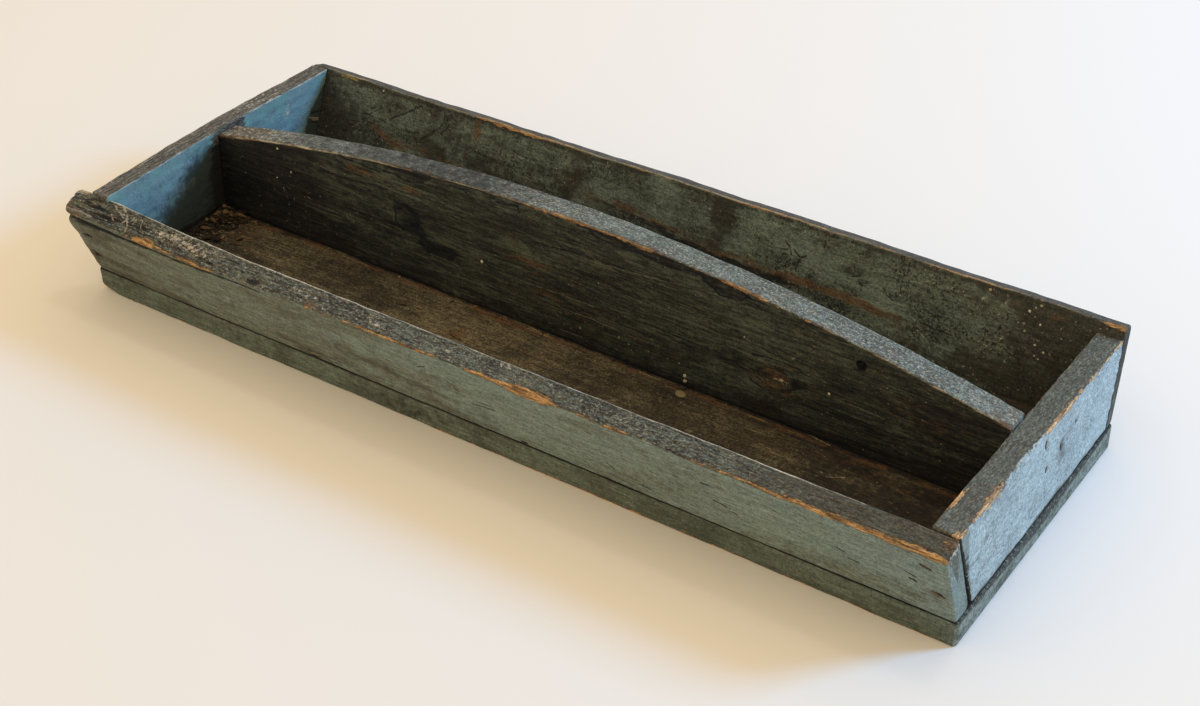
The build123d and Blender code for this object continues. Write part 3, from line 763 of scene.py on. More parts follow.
def makeFrontSide():
    height, reach = frontLook["height"], frontThick * math.cos(math.radians(frontLean))
    rising = frontThick * math.sin(math.radians(frontLean))
    outerTopY = frontFoot - height * slopeOf(frontLean)
    left, length = bottomLow[0] - 9, rightFoot - bottomLow[0] + 9

    def leftLine(h):
        share = np.clip((h - bottomTop) / (height + rising), 0, 1.1)
        return bottomLow[0] - leftGrow - frontLook["overhang"] * share ** 0.75

    def corners(share):
        x = left + share * length
        flare = course(x, (-312, 3.6), (-280, 3.2), (-230, 1.2), (-160, 0))
        sag = course(x, (-310, 1.2), (-240, 2.8), (-190, 3.2), (-130, 1.6), (-80, 0.3), (0, 0))
        lift = course(x, (-310, 1.6), (-270, 2.2), (-220, 0.9), (-160, 0)) + 0.2 * wander(x, 32, 90)
        return cornersOf(
            (frontFoot + 0.25 * wander(x, 34, 160), bottomTop + 0.5 + 0.12 * wander(x, 35, 90)),
            (outerTopY + 0.3 * wander(x, 33, 50), bottomTop + height - sag + 0.35 * wander(x, 31, 70)),
            (outerTopY + reach + flare + 0.15 * wander(x, 36, 80), bottomTop + height + rising + lift),
            (frontInnerFoot, bottomTop + 0.05))

    def wear(share):
        x = left + share * length
        outer = course(x, (-310, 4.2), (-270, 3.4), (-230, 2.6), (-150, 1.3), (120, 1.3), (240, 1.9))
        outer = outer + 0.35 * wander(x, 37, 24) + blots(x, 0 * x, [(54, 0, 15, 9, 2.4)])
        return np.stack([0.6 + 0.2 * wander(x, 38, 45), outer, 1 + 0.25 * wander(x, 39, 40),
                         course(x, (270, 0.5), (302, 6.5))], axis=1)

    board = carriedBoard(length, corners, wear, leftLine, leaning(rightFoot, -slopeOf(rightLean)),
                         (76, 21, 34, 8), (5.5, 4.8, 3.4), (1.8, 1.5, 0.8), step=1.9, fineStep=0.8)
    x, z, outer, top, inner = sidesOf(board)
    upper, lower, back = board["gaps"][..., 1], board["gaps"][..., 0], board["gaps"][..., 2]
    depth = board["across"][..., 1] * frontThick
    onOuter, onTop = outer > 0.5, top > 0.3
    split = course(x, (-312, 57), (-290, 57.2), (-262, 57.8), (-245, 58), (-218, 57.5), (-161, 59.6),
        (-130, 60.5))
    splitWidth = course(x, (-312, 3.2), (-290, 2.6), (-262, 1.5), (-250, 1.25), (-170, 0.85))
    splitDepth = course(x, (-312, 4.8), (-288, 3.8), (-240, 2), (-190, 1.3), (-135, 0))
    groove = near(z - split, splitWidth) * onOuter
    dents = np.minimum(blots(x, z, frontLook["holes"]) * onOuter, deepestHole)
    dashes = blots(x, z, frontLook["dashes"]) * onOuter
    fissures = top * blots(x, depth, [(-289, 8.5, 10, 0.8, 1, 3), (-277, 5.5, 9, 0.8, 1, 3),
            (-262, 7, 12, 0.7, 0.9, 3), (-296, 12, 8, 0.6, 0.7, 2), (-250, 10, 14, 0.6, 0.6, 2),
            (-300, 5, 7, 0.6, 0.8, 4), (-282, 3.2, 12, 0.6, 0.9, 2), (-284, 8.6, 2.4, 1.4, 0.7),
            (-273, 5.4, 3, 1.5, 0.7), (-225, 4, 14, 0.6, 0.6, 2), (-240, 7.5, 16, 0.5, 0.7, 1),
            (-212, 11.5, 14, 0.5, 0.6, 1), (-190, 4, 16, 0.5, 0.6, 1), (-152, 3.4, 5.5, 2.4, 1.2, 4)])
    chipped = onTop * blots(x, depth,
        [(-236, 1.6, 9, 2.6, 0.8), (-195, 1, 13, 1.6, 0.5), (55, 1.6, 13, 2.4, 0.7)])
    relief = (outer * 0.14 * roughness(x, z, 40, 70, 9) + inner * 0.12 * roughness(x, z, 42, 70, 9)
        + top * (0.2 * roughness(x, depth, 41, 26, 5) + 0.1 * roughness(x, depth, 48, 9, 2.4)
            + 0.3 * rise(x, -150, -240) * roughness(x, depth, 50, 30, 2.2)) - splitDepth * groove
        - dents - 0.5 * dashes - fissures - 0.6 * chipped)
    points = placed(board, relief)
    nose = near(board["fromStart"], 5)
    points[..., 0] += nose * (1.6 * near(z - split, 1.4) * near(upper, 11) + 0.4 * wander(z, 49, 16)
                              - 3 * near(z - 53, 5) * outer)
    strength = course(x, (-312, 0.66), (-295, 0.6), (-262, 0.3), (-252, 0.4), (-247, 0.9), (-236, 0.95),
        (-232, 0.4), (-218, 0.5), (-210, 0.72), (-186, 0.68), (-176, 0.2), (-115, 0.1), (-112, 0.5),
        (-103, 0.5), (-98, 0.2), (-93, 0.75), (-86, 0.3), (-72, 0.72), (-45, 0.62), (-20, 0.78),
        (-8, 0.2), (6, 0.3), (14, 0.8), (38, 0.85), (68, 0.95), (72, 0.5), (88, 0.45), (98, 0.7),
        (118, 0.72), (124, 0.3), (150, 0.42), (160, 0.62), (205, 0.75), (222, 0.95), (300, 0.98),
        (309, 0.6))
    width = course(x, (-312, 2.4), (-255, 2), (-243, 3.4), (-230, 4.2), (-220, 2), (-205, 2.6),
        (-188, 2), (-170, 1), (-95, 1.1), (-20, 1.4), (10, 1.3), (35, 1.9), (44, 4.4), (64, 4),
        (72, 1.3), (110, 1.7), (160, 1.3), (215, 1.7), (230, 2.5), (270, 2.6), (298, 3.2))
    marks = {
        "top": top * (1 - board["endEnd"]),
        "inner": inner,
        "tint": outer * (0.3 * roughness(x, z, 43, 130, 30) + 0.25 * near(upper, 8)
                + course(x, (-310, 0), (-220, 0.08), (-100, 0.25), (-30, 0.6), (60, 0.9), (170, 0.72),
                    (300, 0.8))) + 1.3 * board["endEnd"],
        "bare": near(upper, width) * strength * 1.08
            + onTop * blots(x, depth, [(-240, 2.2, 5, 1.6, 0.6), (57, 2.4, 8, 1.5, 0.7)])
            + 0.5 * onTop * blots(x, depth, [(301, 11, 4, 4, 1)]),
        "soil": top * course(x, (-170, 0), (-60, 0.08), (60, 0.36), (95, 0.2), (140, 0.2), (200, 0.6),
                (222, 0.8), (250, 1.3), (300, 1.2))
            # The soil near the lower edge of the outer face, and the dark line right at it, are painted
            # shade of the gap over the bottom board.
            + outer * (0.4 * near(lower, 5) + 0.05 * rise(x, 0, -60) + 0.14 * rise(x, -170, -250)
                + course(x, (-80, 0.42), (0, 0.24), (60, 0.02), (300, 0.05))
                * roughness(x, z, 45, 60, 14) + blots(x, z, [(-288, 36, 26, 20, 0.4),
                        (-66, 30, 56, 9, 0.38, 6), (-16, 28, 36, 8, 0.26), (299, 35, 12, 6, 0.6, -12)])),
        "dark": groove * course(x, (-312, 1.3), (-200, 1.15), (-150, 0.8), (-125, 0)) + 0.8 * dents
            + 0.9 * dashes + fissures + outer * 0.9 * near(lower, 0.7)
            + outer * blots(x, z, [(-116.8, 18.2, 3.5, 0.9, 0.9), (39.8, 17.8, 2.6, 0.9, 0.9)]),
        "rust": onTop * (course(x, (-312, 0.62), (-300, 0.5), (-284, 0.2), (-215, 0.2), (-150, 0.1))
                * near(depth - 2, 4) + blots(x, depth,
                    [(-152, 2.6, 7, 2.2, 0.9, 4), (-108, 1.5, 7, 2, 0.5), (301, 11, 5, 5, 0.7)]))
            + outer * blots(x, z, [(299, 35, 7, 2.4, 0.5, -12), (-116.8, 19.4, 4, 0.8, 0.6)]),
        "pale": top * (0.1 + blots(x, depth, [(-217, 9.5, 16, 3, 0.44, -4),
                        (-202, 8.5, 12, 3, 0.44, -4), (-234, 8, 16, 6, 0.28), (-265, 9, 9, 5, 0.28),
                        (-60, 7, 10, 4, 0.35), (28, 13, 4, 2, 0.45), (-110, 8, 26, 6, 0.2),
                        (112, 8, 34, 8, 0.16)]) - 0.1 * rise(x, 60, 250))
            + board["endEnd"] * (0.2 + blots(z, 0 * z, [(66, 0, 2.5, 9, 0.7)])),
        # Pale line along the inner top arris: worn paint, and a painted highlight where the arris catches
        # the light.
        "line": near(back, course(x, (-312, 1.9), (-300, 1.5), (-292, 0.95))) * course(x, (-311, 1.1),
            (-296, 1), (-120, 0.95), (-60, 0.7), (60, 0.7), (150, 0.8), (200, 0.95), (222, 0.85),
            (255, 0.45), (300, 0.3)),
    }
    piece = closedSkin("frontSide", points, marks)
    finishPiece(piece, boardFinish("frontSideFinish", frontLook), "front_side")


makeFrontSide()

backLook = {
    "height": 55, **alongX,
    "outer": ((0.22, 0.26, 0.225), (0.14, 0.155, 0.125), (0.05, 0.05, 0.038)),
    "outerWeather": (0.8, 0.3, 0.3, 0.4, 0.1),
    "inner": ((0.132, 0.168, 0.143), (0.058, 0.069, 0.056), (0.012, 0.0115, 0.009)),
    "innerWeather": (0.7, 0.2, 0.4, 0.9, 0.3),
    "tint": (0.175, 0.24, 0.218), "tintAmount": 0.65,
    "top": {"Deep": (0.028, 0.026, 0.02), "Middle": (0.068, 0.063, 0.051), "Paint": (0.08, 0.086, 0.08),
        "Salt": (0.22, 0.2, 0.155), "Stain": (0.1, 0.08, 0.07), "Painted": 0.3, "Salting": 0.4,
        "Fissures": 0.4, "Stained": 0.4, "Pits": 0.6},
    "soil": (0.03, 0.027, 0.017), "soilAndShadeAmount": 0.85, "soilRagged": 1.9,
    "grit": {"outer": (0.4, 0.3), "inner": (0.75, 0.3), "top": (0.4, 0.2)},
    "strokes": [
        ("inner", (0.012, 0.011, 0.008), 0.9, [(0.65, -223.9, 54.4, -211.3, 61.7, -198.9, 69.8),
                (0.6, -196.1, 47.8, -187.2, 54.8, -181.3, 59.3, -178.6, 64.1, -178.7, 69.1, -181.2, 72),
                (0.6, -180.3, 54.8, -177.3, 58.5, -174, 63),
                (0.5, -249.8, 52, -242.3, 52.8, -232, 60.1),
                (0.45, -222.3, 50.8, -212.3, 49.6, -199.8, 51.3),
                (0.7, 88, 60.5, 91.6, 57.8, 94.1, 54.2), (0.8, 99.6, 54.1, 103.8, 55.9),
                (0.6, 95, 57, 99.6, 54.1, 99.7, 50.7, 96.1, 49.6), (0.6, 99.7, 50.7, 98.7, 45.7),
                (0.5, 86, 55, 91, 56.5), (0.8, 141.4, 50.2, 143.5, 50.5, 143.7, 46.9),
                (0.6, 136, 53, 141, 55), (0.7, 157.3, 52.3, 158.6, 51.7),
                (0.7, 162.8, 48.6, 165.3, 47.4), (0.7, 165.8, 52.2, 166.6, 50.5),
                (0.5, -150, 52, -132, 51), (0.5, -120, 60, -108, 58), (0.5, 186, 40, 206, 39.4),
                (0.4, -262, 45, -246, 47)]),
        ("inner", (0.3, 0.25, 0.08), 0.8, [(1.3, -270, 72.6, -263.7, 73, -257.3, 72.6)]),
        ("inner", (0.2, 0.2, 0.15), 0.6, [(0.4, -256.5, 40.6, -248.6, 46.3), (0.4, 206, 62, 214, 61.5),
                (0.4, 226, 44, 238, 43.6), (0.4, 120, 60, 130, 59.6), (0.4, 30, 48, 44, 47)])],
    "darkMark": (0.01, 0.008, 0.006), "rustMark": (0.13, 0.075, 0.038), "paleMark": (0.5, 0.47, 0.4),
    "lineMark": (0.36, 0.31, 0.23), "wood": ((0.42, 0.26, 0.11), (0.2, 0.11, 0.045)),
    "rough": 0.72,
}


def makeBackSide():
    height, lean = backLook["height"], math.radians(backLean)
    outerTopY = backFoot + height * slopeOf(backLean)
    innerTopY, rising = outerTopY - backThick * math.cos(lean), backThick * math.sin(lean)
    length = rightFoot - leftFoot

    def corners(share):
        x = leftFoot + share * length
        wave = 0.5 * wander(x, 51, 150) + 0.9 * near(x - 50, 150)
        bow = 0.5 + 0.7 * near(x - 50, 180)
        return cornersOf((backFoot, bottomTop + 0.5), (outerTopY + bow, bottomTop + height + wave),
            (innerTopY + 0.15 * wander(x, 52, 60),
                bottomTop + height + rising + wave + 0.2 * wander(x, 53, 50)),
            (backInnerFoot, bottomTop + 0.05))

    def wear(share):
        x = leftFoot + share * length
        chip = blots(x, 0 * x, [(-118, 0, 22, 9, 1.2), (300, 0, 14, 9, 1.8), (72, 0, 6, 9, 0.8)])
        return np.stack([0.9 + 0 * x, 1.3 + 0.4 * wander(x, 54, 50), 1.2 + 0.35 * wander(x, 55, 30) + chip,
                         0.5 + 0 * x], axis=1)

    board = carriedBoard(length, corners, wear, leaning(leftFoot, slopeOf(leftLean)),
        leaning(rightFoot, -slopeOf(rightLean)), (40, 12, 50, 6), (4, 2.2, 3), (1.5, 1.3, 1.6),
        step=1.9)
    x, z, outer, top, inner = sidesOf(board)
    arris, foot = board["gaps"][..., 2], board["gaps"][..., 3]
    onInner = inner > 0.5
    nailHoles = [(side * 294 + 4, level, 2.8, 1.5, 2, 0) for side in (-1, 1) for level in (30, 46)]
    holes = np.minimum(blots(x, z, nailHoles) * (outer > 0.5), deepestHole)
    scratches = onInner * blots(x, z, [(-210, 62.8, 15, 0.6, 1, 29), (-177, 65, 0.8, 6.5, 0.9, -14),
            (-184, 55.4, 8, 0.7, 0.9, 30), (-195, 48.9, 7, 0.6, 0.8, 32),
            (-242, 56.6, 13, 0.6, 0.7, 30), (-222, 47, 10, 0.6, 0.6, 20), (-160, 58, 5, 0.6, 0.5, -30)])
    streak = course(x, (-60, 50), (-24, 48.3), (0, 45.5), (23, 42.2), (46, 40), (110, 40.3),
        (131, 40.2), (152, 39.2), (190, 37))
    shadeUnder = near(z - streak + 3, 4.2) * course(x, (-75, 0), (-50, 0.35), (-10, 0.7), (60, 0.85),
        (100, 0.55), (130, 0.3), (190, 0))
    relief = (outer * 0.14 * roughness(x, z, 56, 70, 9) + top * 0.12 * roughness(x, z, 57, 26, 5)
              + inner * (0.14 * roughness(x, z, 58, 60, 8) + 0.06 * roughness(x, z, 63, 14, 6))
              - holes - 0.4 * scratches)
    strength = course(x, (-300, 0.3), (-275, 0.3), (-200, 0.3), (-160, 0.35), (-145, 0.85), (-100, 0.9),
        (-75, 0.6), (-30, 0.5), (40, 0.4), (60, 0.8), (85, 0.8), (110, 0.5), (150, 0.6), (165, 0.3),
        (196, 0.75), (218, 0.8), (232, 0.7), (250, 0.5), (286, 0.4), (292, 0.95), (300, 1))
    width = course(x, (-300, 1.1), (-160, 1.1), (-140, 2.2), (-122, 3), (-100, 1.7), (-70, 1.2),
        (100, 1.4), (286, 1), (293, 1.8), (300, 2.7))
    marks = {
        "top": top,
        "inner": inner,
        "tint": inner * (0.2 + 0.35 * roughness(x, z, 59, 90, 34)
            + blots(x, z, [(-20, 60, 26, 12, 0.5), (10, 52, 20, 9, 0.45), (66, 62, 16, 10, 0.75),
                    (110, 56, 40, 9, 0.5, -3), (150, 52, 30, 8, 0.45, -3), (-200, 60, 40, 16, 0.25)])),
        "bare": near(arris, width) * strength * 1.05 + board["startEnd"] * 0.1,
        "soil": inner * (0.08 + 0.35 * near(foot, 14) + 0.2 * roughness(x, z, 60, 60, 16)
                + 0.6 * near(arris - 2.5, 1.6) + blots(x, z, [(-290, 50, 12, 40, 1),
                        (-268, 40, 20, 16, 0.5), (-72, 58, 9, 18, 0.6), (24, 64, 20, 7, 0.5, -10),
                        (43, 58, 9, 16, 0.85), (-130, 42, 60, 14, 0.4), (131, 57, 8, 8, 0.5),
                        (141, 66, 7, 8, 0.45), (272, 66, 38, 7, 0.5), (285, 30, 16, 30, 0.7),
                        (240, 24, 60, 8, 0.7)]) + 0.74 * rise(x + 0.5 * (z - 60), 200, 262)
                + 0.25 * rise(x, -60, -130)) + outer * 0.25 + 0.75 * board["endEnd"],
        "dark": inner * (0.14 * roughness(x, z, 61, 50, 9) + 0.8 * scratches + shadeUnder
                + blots(x, z, [(92, 57, 3, 3.5, 0.4, 15), (100, 53, 3.5, 3, 0.45),
                        (165, 51, 8, 3.5, 0.34), (143, 51, 5, 4, 0.34, 20), (131, 62, 12, 7, 0.24),
                        (150, 58, 30, 12, 0.16), (-60, 57, 3, 6, 0.45, 20), (-296, 45, 6, 40, 0.9)]))
            + holes,
        "rust": inner * (near(z - streak, 3.2) * course(x, (-75, 0), (-50, 0.6), (60, 0.6), (80, 0.8),
                (110, 0.75), (150, 0.9), (170, 0.7), (205, 0))
            + blots(x, z, [(-235, 46, 9, 3, 0.7, -20), (-217, 41, 12, 3.5, 0.8, -8),
                    (-262, 70, 10, 1.5, 0.4), (-180, 40, 30, 3, 0.4, -4), (150, 66, 14, 1.2, 0.6),
                    (262, 68, 24, 2, 0.5)]) + 1.4 * blots(x, z, [(-151, 64.5, 3, 5.4, 1)])),
        "pale": onInner * (0.12 + 0.08 * near(x - 220, 60)) + top * 0.12,
        "line": near(arris, 1) * course(x, (-300, 0.5), (-268, 0.6), (-262, 0.95), (-255, 0.9),
            (-250, 0.5), (-150, 0.5), (-90, 0.5), (-60, 0.75), (60, 0.7), (160, 0.6), (285, 0.5)),
    }
    piece = closedSkin("backSide", placed(board, relief), marks)
    finishPiece(piece, boardFinish("backSideFinish", backLook), "back_side")


makeBackSide()

leftLook = {
    **alongY,
    "outer": ((0.33, 0.42, 0.47), (0.24, 0.31, 0.34), (0.1, 0.11, 0.11)),
    "outerWeather": (0.7, 0.25, 0.25, 0.3, 0.1),
    "inner": ((0.215, 0.33, 0.355), (0.125, 0.215, 0.245), (0.05, 0.07, 0.075)),
    "innerWeather": (0.7, 0.03, 0.12, 0.4, 0.12),
    "tint": (0.18, 0.35, 0.33), "tintAmount": 0.6,
    "top": {"Deep": (0.045, 0.039, 0.03), "Middle": (0.15, 0.14, 0.112), "Paint": (0.14, 0.16, 0.148),
        "Salt": (0.34, 0.32, 0.26), "Stain": (0.125, 0.092, 0.072), "Painted": 0.35, "Salting": 0.3,
        "Fissures": 0.75, "Stained": 0.8, "Pits": 0.55},
    "soil": (0.038, 0.054, 0.055), "soilAndShadeAmount": 0.95, "soilRagged": 1.1,
    "grit": {"outer": (0.2, 0.1), "inner": (0.12, 0.03), "top": (0.5, 0.45)},
    "strokes": [
        ("inner", (0.4, 0.33, 0.27), 0.9, [(0.7, 86.2, 44.7, 99.5, 39.5), (0.5, 89.5, 41.9, 96, 39.2)]),
        ("inner", (0.012, 0.012, 0.01), 0.9, [(0.9, 89.5, 46.9, 100, 45.4), (0.8, 88, 41, 95, 37.5)]),
        ("top", (0.36, 0.31, 0.25), 0.7, [(0.6, -296, -70, -294, -45), (0.6, -293, -40, -291, -22),
                (0.6, -297, 20, -295, 38), (0.5, -290, 50, -288, 62), (0.8, -298.4, -84, -298, -60)]),
        ("top", (0.014, 0.012, 0.009), 0.85, [(0.5, -291, -88, -290, -66),
                (0.5, -294.5, -60, -293, -30), (0.5, -289, -20, -288, -2), (0.5, -293, 30, -292, 52)])],
    "darkMark": (0.012, 0.012, 0.01), "rustMark": (0.16, 0.1, 0.06), "paleMark": (0.55, 0.5, 0.42),
    "lineMark": (0.52, 0.5, 0.44), "wood": ((0.5, 0.33, 0.17), (0.28, 0.16, 0.07)),
    "rough": 0.72,
}
rightLook = {
    **leftLook,
    "outer": ((0.345, 0.43, 0.45), (0.24, 0.305, 0.325), (0.1, 0.115, 0.115)),
    "outerWeather": (0.7, 0.12, 0.3, 0.4, 0.4),
    "inner": ((0.09, 0.095, 0.07), (0.045, 0.047, 0.033), (0.018, 0.016, 0.011)),
    "tint": (0.17, 0.215, 0.195), "tintAmount": 0.9,
    "top": {"Deep": (0.048, 0.048, 0.037), "Middle": (0.12, 0.126, 0.101),
        "Paint": (0.12, 0.142, 0.122), "Salt": (0.25, 0.255, 0.205), "Stain": (0.08, 0.06, 0.05),
        "Painted": 0.4, "Salting": 0.4, "Fissures": 0.4, "Stained": 0.4, "Pits": 0.45},
    "soil": (0.1, 0.1, 0.085), "soilAndShadeAmount": 0.75, "soilRagged": 1.7,
    "grit": {"outer": (0.6, 0.08), "inner": (0.5, 0.4), "top": (0.8, 0.1)},
    "strokes": [
        ("outer", (0.1, 0.12, 0.13), 0.7, [(0.5, -94, 42, -88, 50), (0.5, -90, 30, -84, 34),
                (0.4, -60, 52, -50, 56), (0.4, -20, 40, -12, 43), (0.4, -70, 30, -58, 33),
                (0.4, 50, 40, 60, 43), (0.4, 10, 30, 22, 32), (0.4, -44, 26, -34, 28)]),
        ("outer", (0.42, 0.5, 0.53), 0.6, [(0.4, -76, 40, -64, 45), (0.4, -34, 34, -22, 38),
                (0.4, 30, 44, 40, 47), (0.4, 60, 30, 74, 33), (0.4, -100, 36, -92, 40)])],
    "lineMark": (0.6, 0.48, 0.32), "wood": ((0.55, 0.36, 0.18), (0.3, 0.17, 0.08)),
}


def makeEnd(name, node, look, outerFoot, innerFoot, slope, frontHeight, backHeight, bow, flare, gap,
            seed, marksFor):
    innerFace = frontInnerFoot + gap
    frontSlope = flare / 52 - slopeOf(frontLean)

    def frontLine(h):
        return leaning(innerFace, frontSlope)(h) + 1.5 * gap * (1 - rise(h, 18, 50))

    backLine = leaning(backInnerFoot - 0.3, slopeOf(backLean))
    length = backLine(60) - frontLine(60)

    def corners(share):
        y = share * length
        tall = frontHeight + (backHeight - frontHeight) * share + bow * near(share - 0.5, 0.3)
        tall = tall + 0.25 * wander(y, seed, 90)
        return cornersOf((outerFoot, bottomTop + 1 + 0.2 * wander(y, seed + 1, 50)),
            (outerFoot + slope * tall, bottomTop + tall - 0.3),
            (innerFoot + slope * tall, bottomTop + tall), (innerFoot, bottomTop + 0.05))

    def wear(share):
        y = share * length
        return np.stack([0.8 + 0 * y, 1.6 + 0.6 * wander(y, seed + 2, 26),
                1.3 + 0.5 * wander(y, seed + 3, 22), 0.5 + 0 * y], axis=1)

    board = carriedBoard(length, corners, wear, frontLine, backLine, (46, 18, 46, 8), (1.4, 0.9, 1.2),
        (0.5, 0.5, 0.5), step=1.4, fineReach=14)
    marks, relief = marksFor(board)
    piece = closedSkin(name, placed(board, relief, alongX=False), marks)
    finishPiece(piece, boardFinish(name + "Finish", look), node)


def leftMarks(board):
    y, z, outer, top, inner = sidesOf(board)
    outerArris, innerArris = board["gaps"][..., 1], board["gaps"][..., 2]
    depth = board["across"][..., 1] * leftThick
    holes = np.minimum(blots(y, z, [(6.3, 41, 1.6, 2.6, 2), (6.3, 60, 1.6, 2.6, 2)]) * (outer > 0.5),
        deepestHole)
    relief = (outer * 0.14 * roughness(y, z, 72, 50, 9) + top * 0.2 * roughness(y, depth, 73, 24, 5)
              + inner * 0.1 * roughness(y, z, 74, 50, 9) - holes)
    # Painted shadow on the inner face: shade is the distance from the edge of the divider's cast shadow. The
    # mask made from it paints that shadow in front of the divider and the back board's cast shadow behind
    # it, together with dirt, through the soil and dark marks. These marks also paint shade along the foot
    # and where the divider meets the face.
    shade = y - course(z, (16, -80), (35, -56), (53, -31), (72, -9))
    darkening = rise(shade, -34, 30) * (y < 7)
    darkening = darkening + rise(
        y - course(z, (16, 70), (39, 82), (46, 86), (55.5, 95), (60, 101), (66, 107), (74, 111)), -5, 4)
    joined = 1 - rise(z, 64, 66.5) * near(y - 8, 17)
    marks = {
        "top": top + 1.6 * inner * near(y - 8, 14) * rise(z, 64, 66.5), "inner": inner,
        "tint": inner * (0.4 * roughness(y, z, 79, 26, 20) + 0.15 + 0.5 * near(z - 70, 4)
            + 0.6 * near(y + 96, 7) + blots(y, z, [(40, 66, 20, 8, 0.5)])),
        "bare": 0.5 * near(outerArris, 1.8) * (0.8 + 0.5 * wander(y, 75, 30)),
        "soil": inner * joined * (0.05 + 1.15 * darkening + 0.5 * near(z - bottomTop, 9)
                + 0.12 * roughness(y, z, 77, 30, 20) + 0.5 * near(y - 16, 5)) + outer * 0.2,
        "dark": holes + top * 0.15 * roughness(y, depth, 78, 30, 5)
            + inner * joined * (0.9 * near(y + 3, 8) + 0.7 * near(z - bottomTop, 3) * (y > -70)
                + 0.4 * rise(shade, 0, 40) * (y < 7)),
        "rust": 0,
        "pale": top * (0.14 + 0.25 * near(y - 40, 30))
            + inner * blots(y, z, [(64.6, 59, 3, 4, 0.7), (68, 52, 5, 4, 0.5),
                    (79.5, 69, 1.6, 2.4, 0.6), (82, 57, 1.8, 5, 0.5), (50, 60, 12, 7, 0.34)]),
        "line": near(innerArris, 0.9) * (0.55 + 0.3 * wander(y, 61, 22)) * (1 - near(y - 6.3, 12))
            + 0.35 * near(outerArris, 1),
    }
    return marks, relief


def rightMarks(board):
    y, z, outer, top, inner = sidesOf(board)
    outerArris, innerArris = board["gaps"][..., 1], board["gaps"][..., 2]
    depth = board["across"][..., 1] * rightThick
    onTop = top > 0.2
    holes = [(3.9, 43, 1.4, 2.6, 2), (2, 60, 1.4, 2.6, 2), (1.9, 28.1, 1.4, 2, 0.9),
             (42.6, 51.7, 2, 2.2, 1), (23.3, 45.7, 2, 3.4, 1.2), (-34.8, 48.3, 1.4, 2, 0.6)]
    holes = np.minimum(blots(y, z, holes) * (outer > 0.5), deepestHole)
    crack = near(y - (-52 - 11 * depth / rightThick), 0.7) * onTop
    joint = 1 - rise(board["fromStart"], course(z, (16, 0.4), (40, 2), (66, 7.5)),
        course(z, (16, 0.9), (40, 3.2), (66, 9.5)))
    relief = (outer * (0.2 * roughness(y, z, 82, 50, 7) + 0.1 * roughness(y, z, 87, 9, 14))
              + top * 0.2 * roughness(y, depth, 83, 24, 5) + inner * 0.1 * roughness(y, z, 84, 50, 9)
              - holes - 0.8 * crack - 2.2 * onTop * blots(y, depth, [(-103, 0, 6, 4, 1)]))
    strength = course(y, (-108, 0.9), (-92, 0.35), (-84, 0.6), (-74, 0.95), (-56, 1), (-46, 0.3), (-5, 0.25),
                      (4, 0.8), (26, 0.9), (46, 0.7), (60, 0.6), (100, 0.65), (114, 0.6))
    width = course(y, (-108, 3), (-92, 1.6), (-74, 2.8), (-58, 3.2), (-46, 1.4), (4, 1.8), (26, 2.3),
        (46, 1.5), (100, 1.2))
    marks = {
        "top": top * (1 - 0.9 * near(outerArris, 2.4) * near(y + 24, 24)),
        "inner": inner,
        "tint": outer * (1.6 * joint + 0.25 * near(outerArris, 5) * near(y + 24, 28))
            + board["startEnd"],
        "bare": near(outerArris, width + 0.5 * wander(y, 85, 14)) * strength
            + onTop * blots(y, depth, [(-76, 14.8, 12, 1.8, 1), (-102, 3, 4, 3, 0.7)]),
        "soil": outer * (0.14 - 0.14 * rise(y, 0, 60) + 0.22 * roughness(y, z, 86, 40, 12)
                + 0.9 * near(z - bottomTop - 1, 1.6)
                + blots(y, z, [(23, 44, 5, 8, 0.6, 20), (3, 43, 4, 5, 0.3)])) + inner * 0.3,
        "dark": 0.7 * holes + 0.7 * crack + outer * 0.6 * joint * near(z - 47, 9)
            + 1.4 * board["startEnd"] * (1 - rise(z, 52, 60))
            + outer * 0.9 * near(board["fromStart"], 0.8),
        "rust": onTop * (0.8 * crack
            + blots(y, depth, [(-60, 3, 9, 3, 0.5), (-106, 6, 5, 8, 0.5), (-107, 1, 3, 3, 0.9)])
            + 0.35 * near(outerArris, 4) * strength),
        "pale": top * 0.1 + 0.25 * near(outerArris, 1.6) + 0.1 * outer,
        "line": near(outerArris, 1.2) * 0.55 * strength + 0.45 * near(innerArris, 0.8) * rise(y, 0, 20),
    }
    return marks, relief


makeEnd("leftEnd", "left_end", leftLook, leftFoot, leftInnerFoot, slopeOf(leftLean), 57.5, 57.5, 2.2,
    1.4, 0, 70, leftMarks)
makeEnd("rightEnd", "right_end", rightLook, rightFoot, rightInnerFoot, -slopeOf(rightLean), 54, 51, 0,
    0, 1.1, 80, rightMarks)

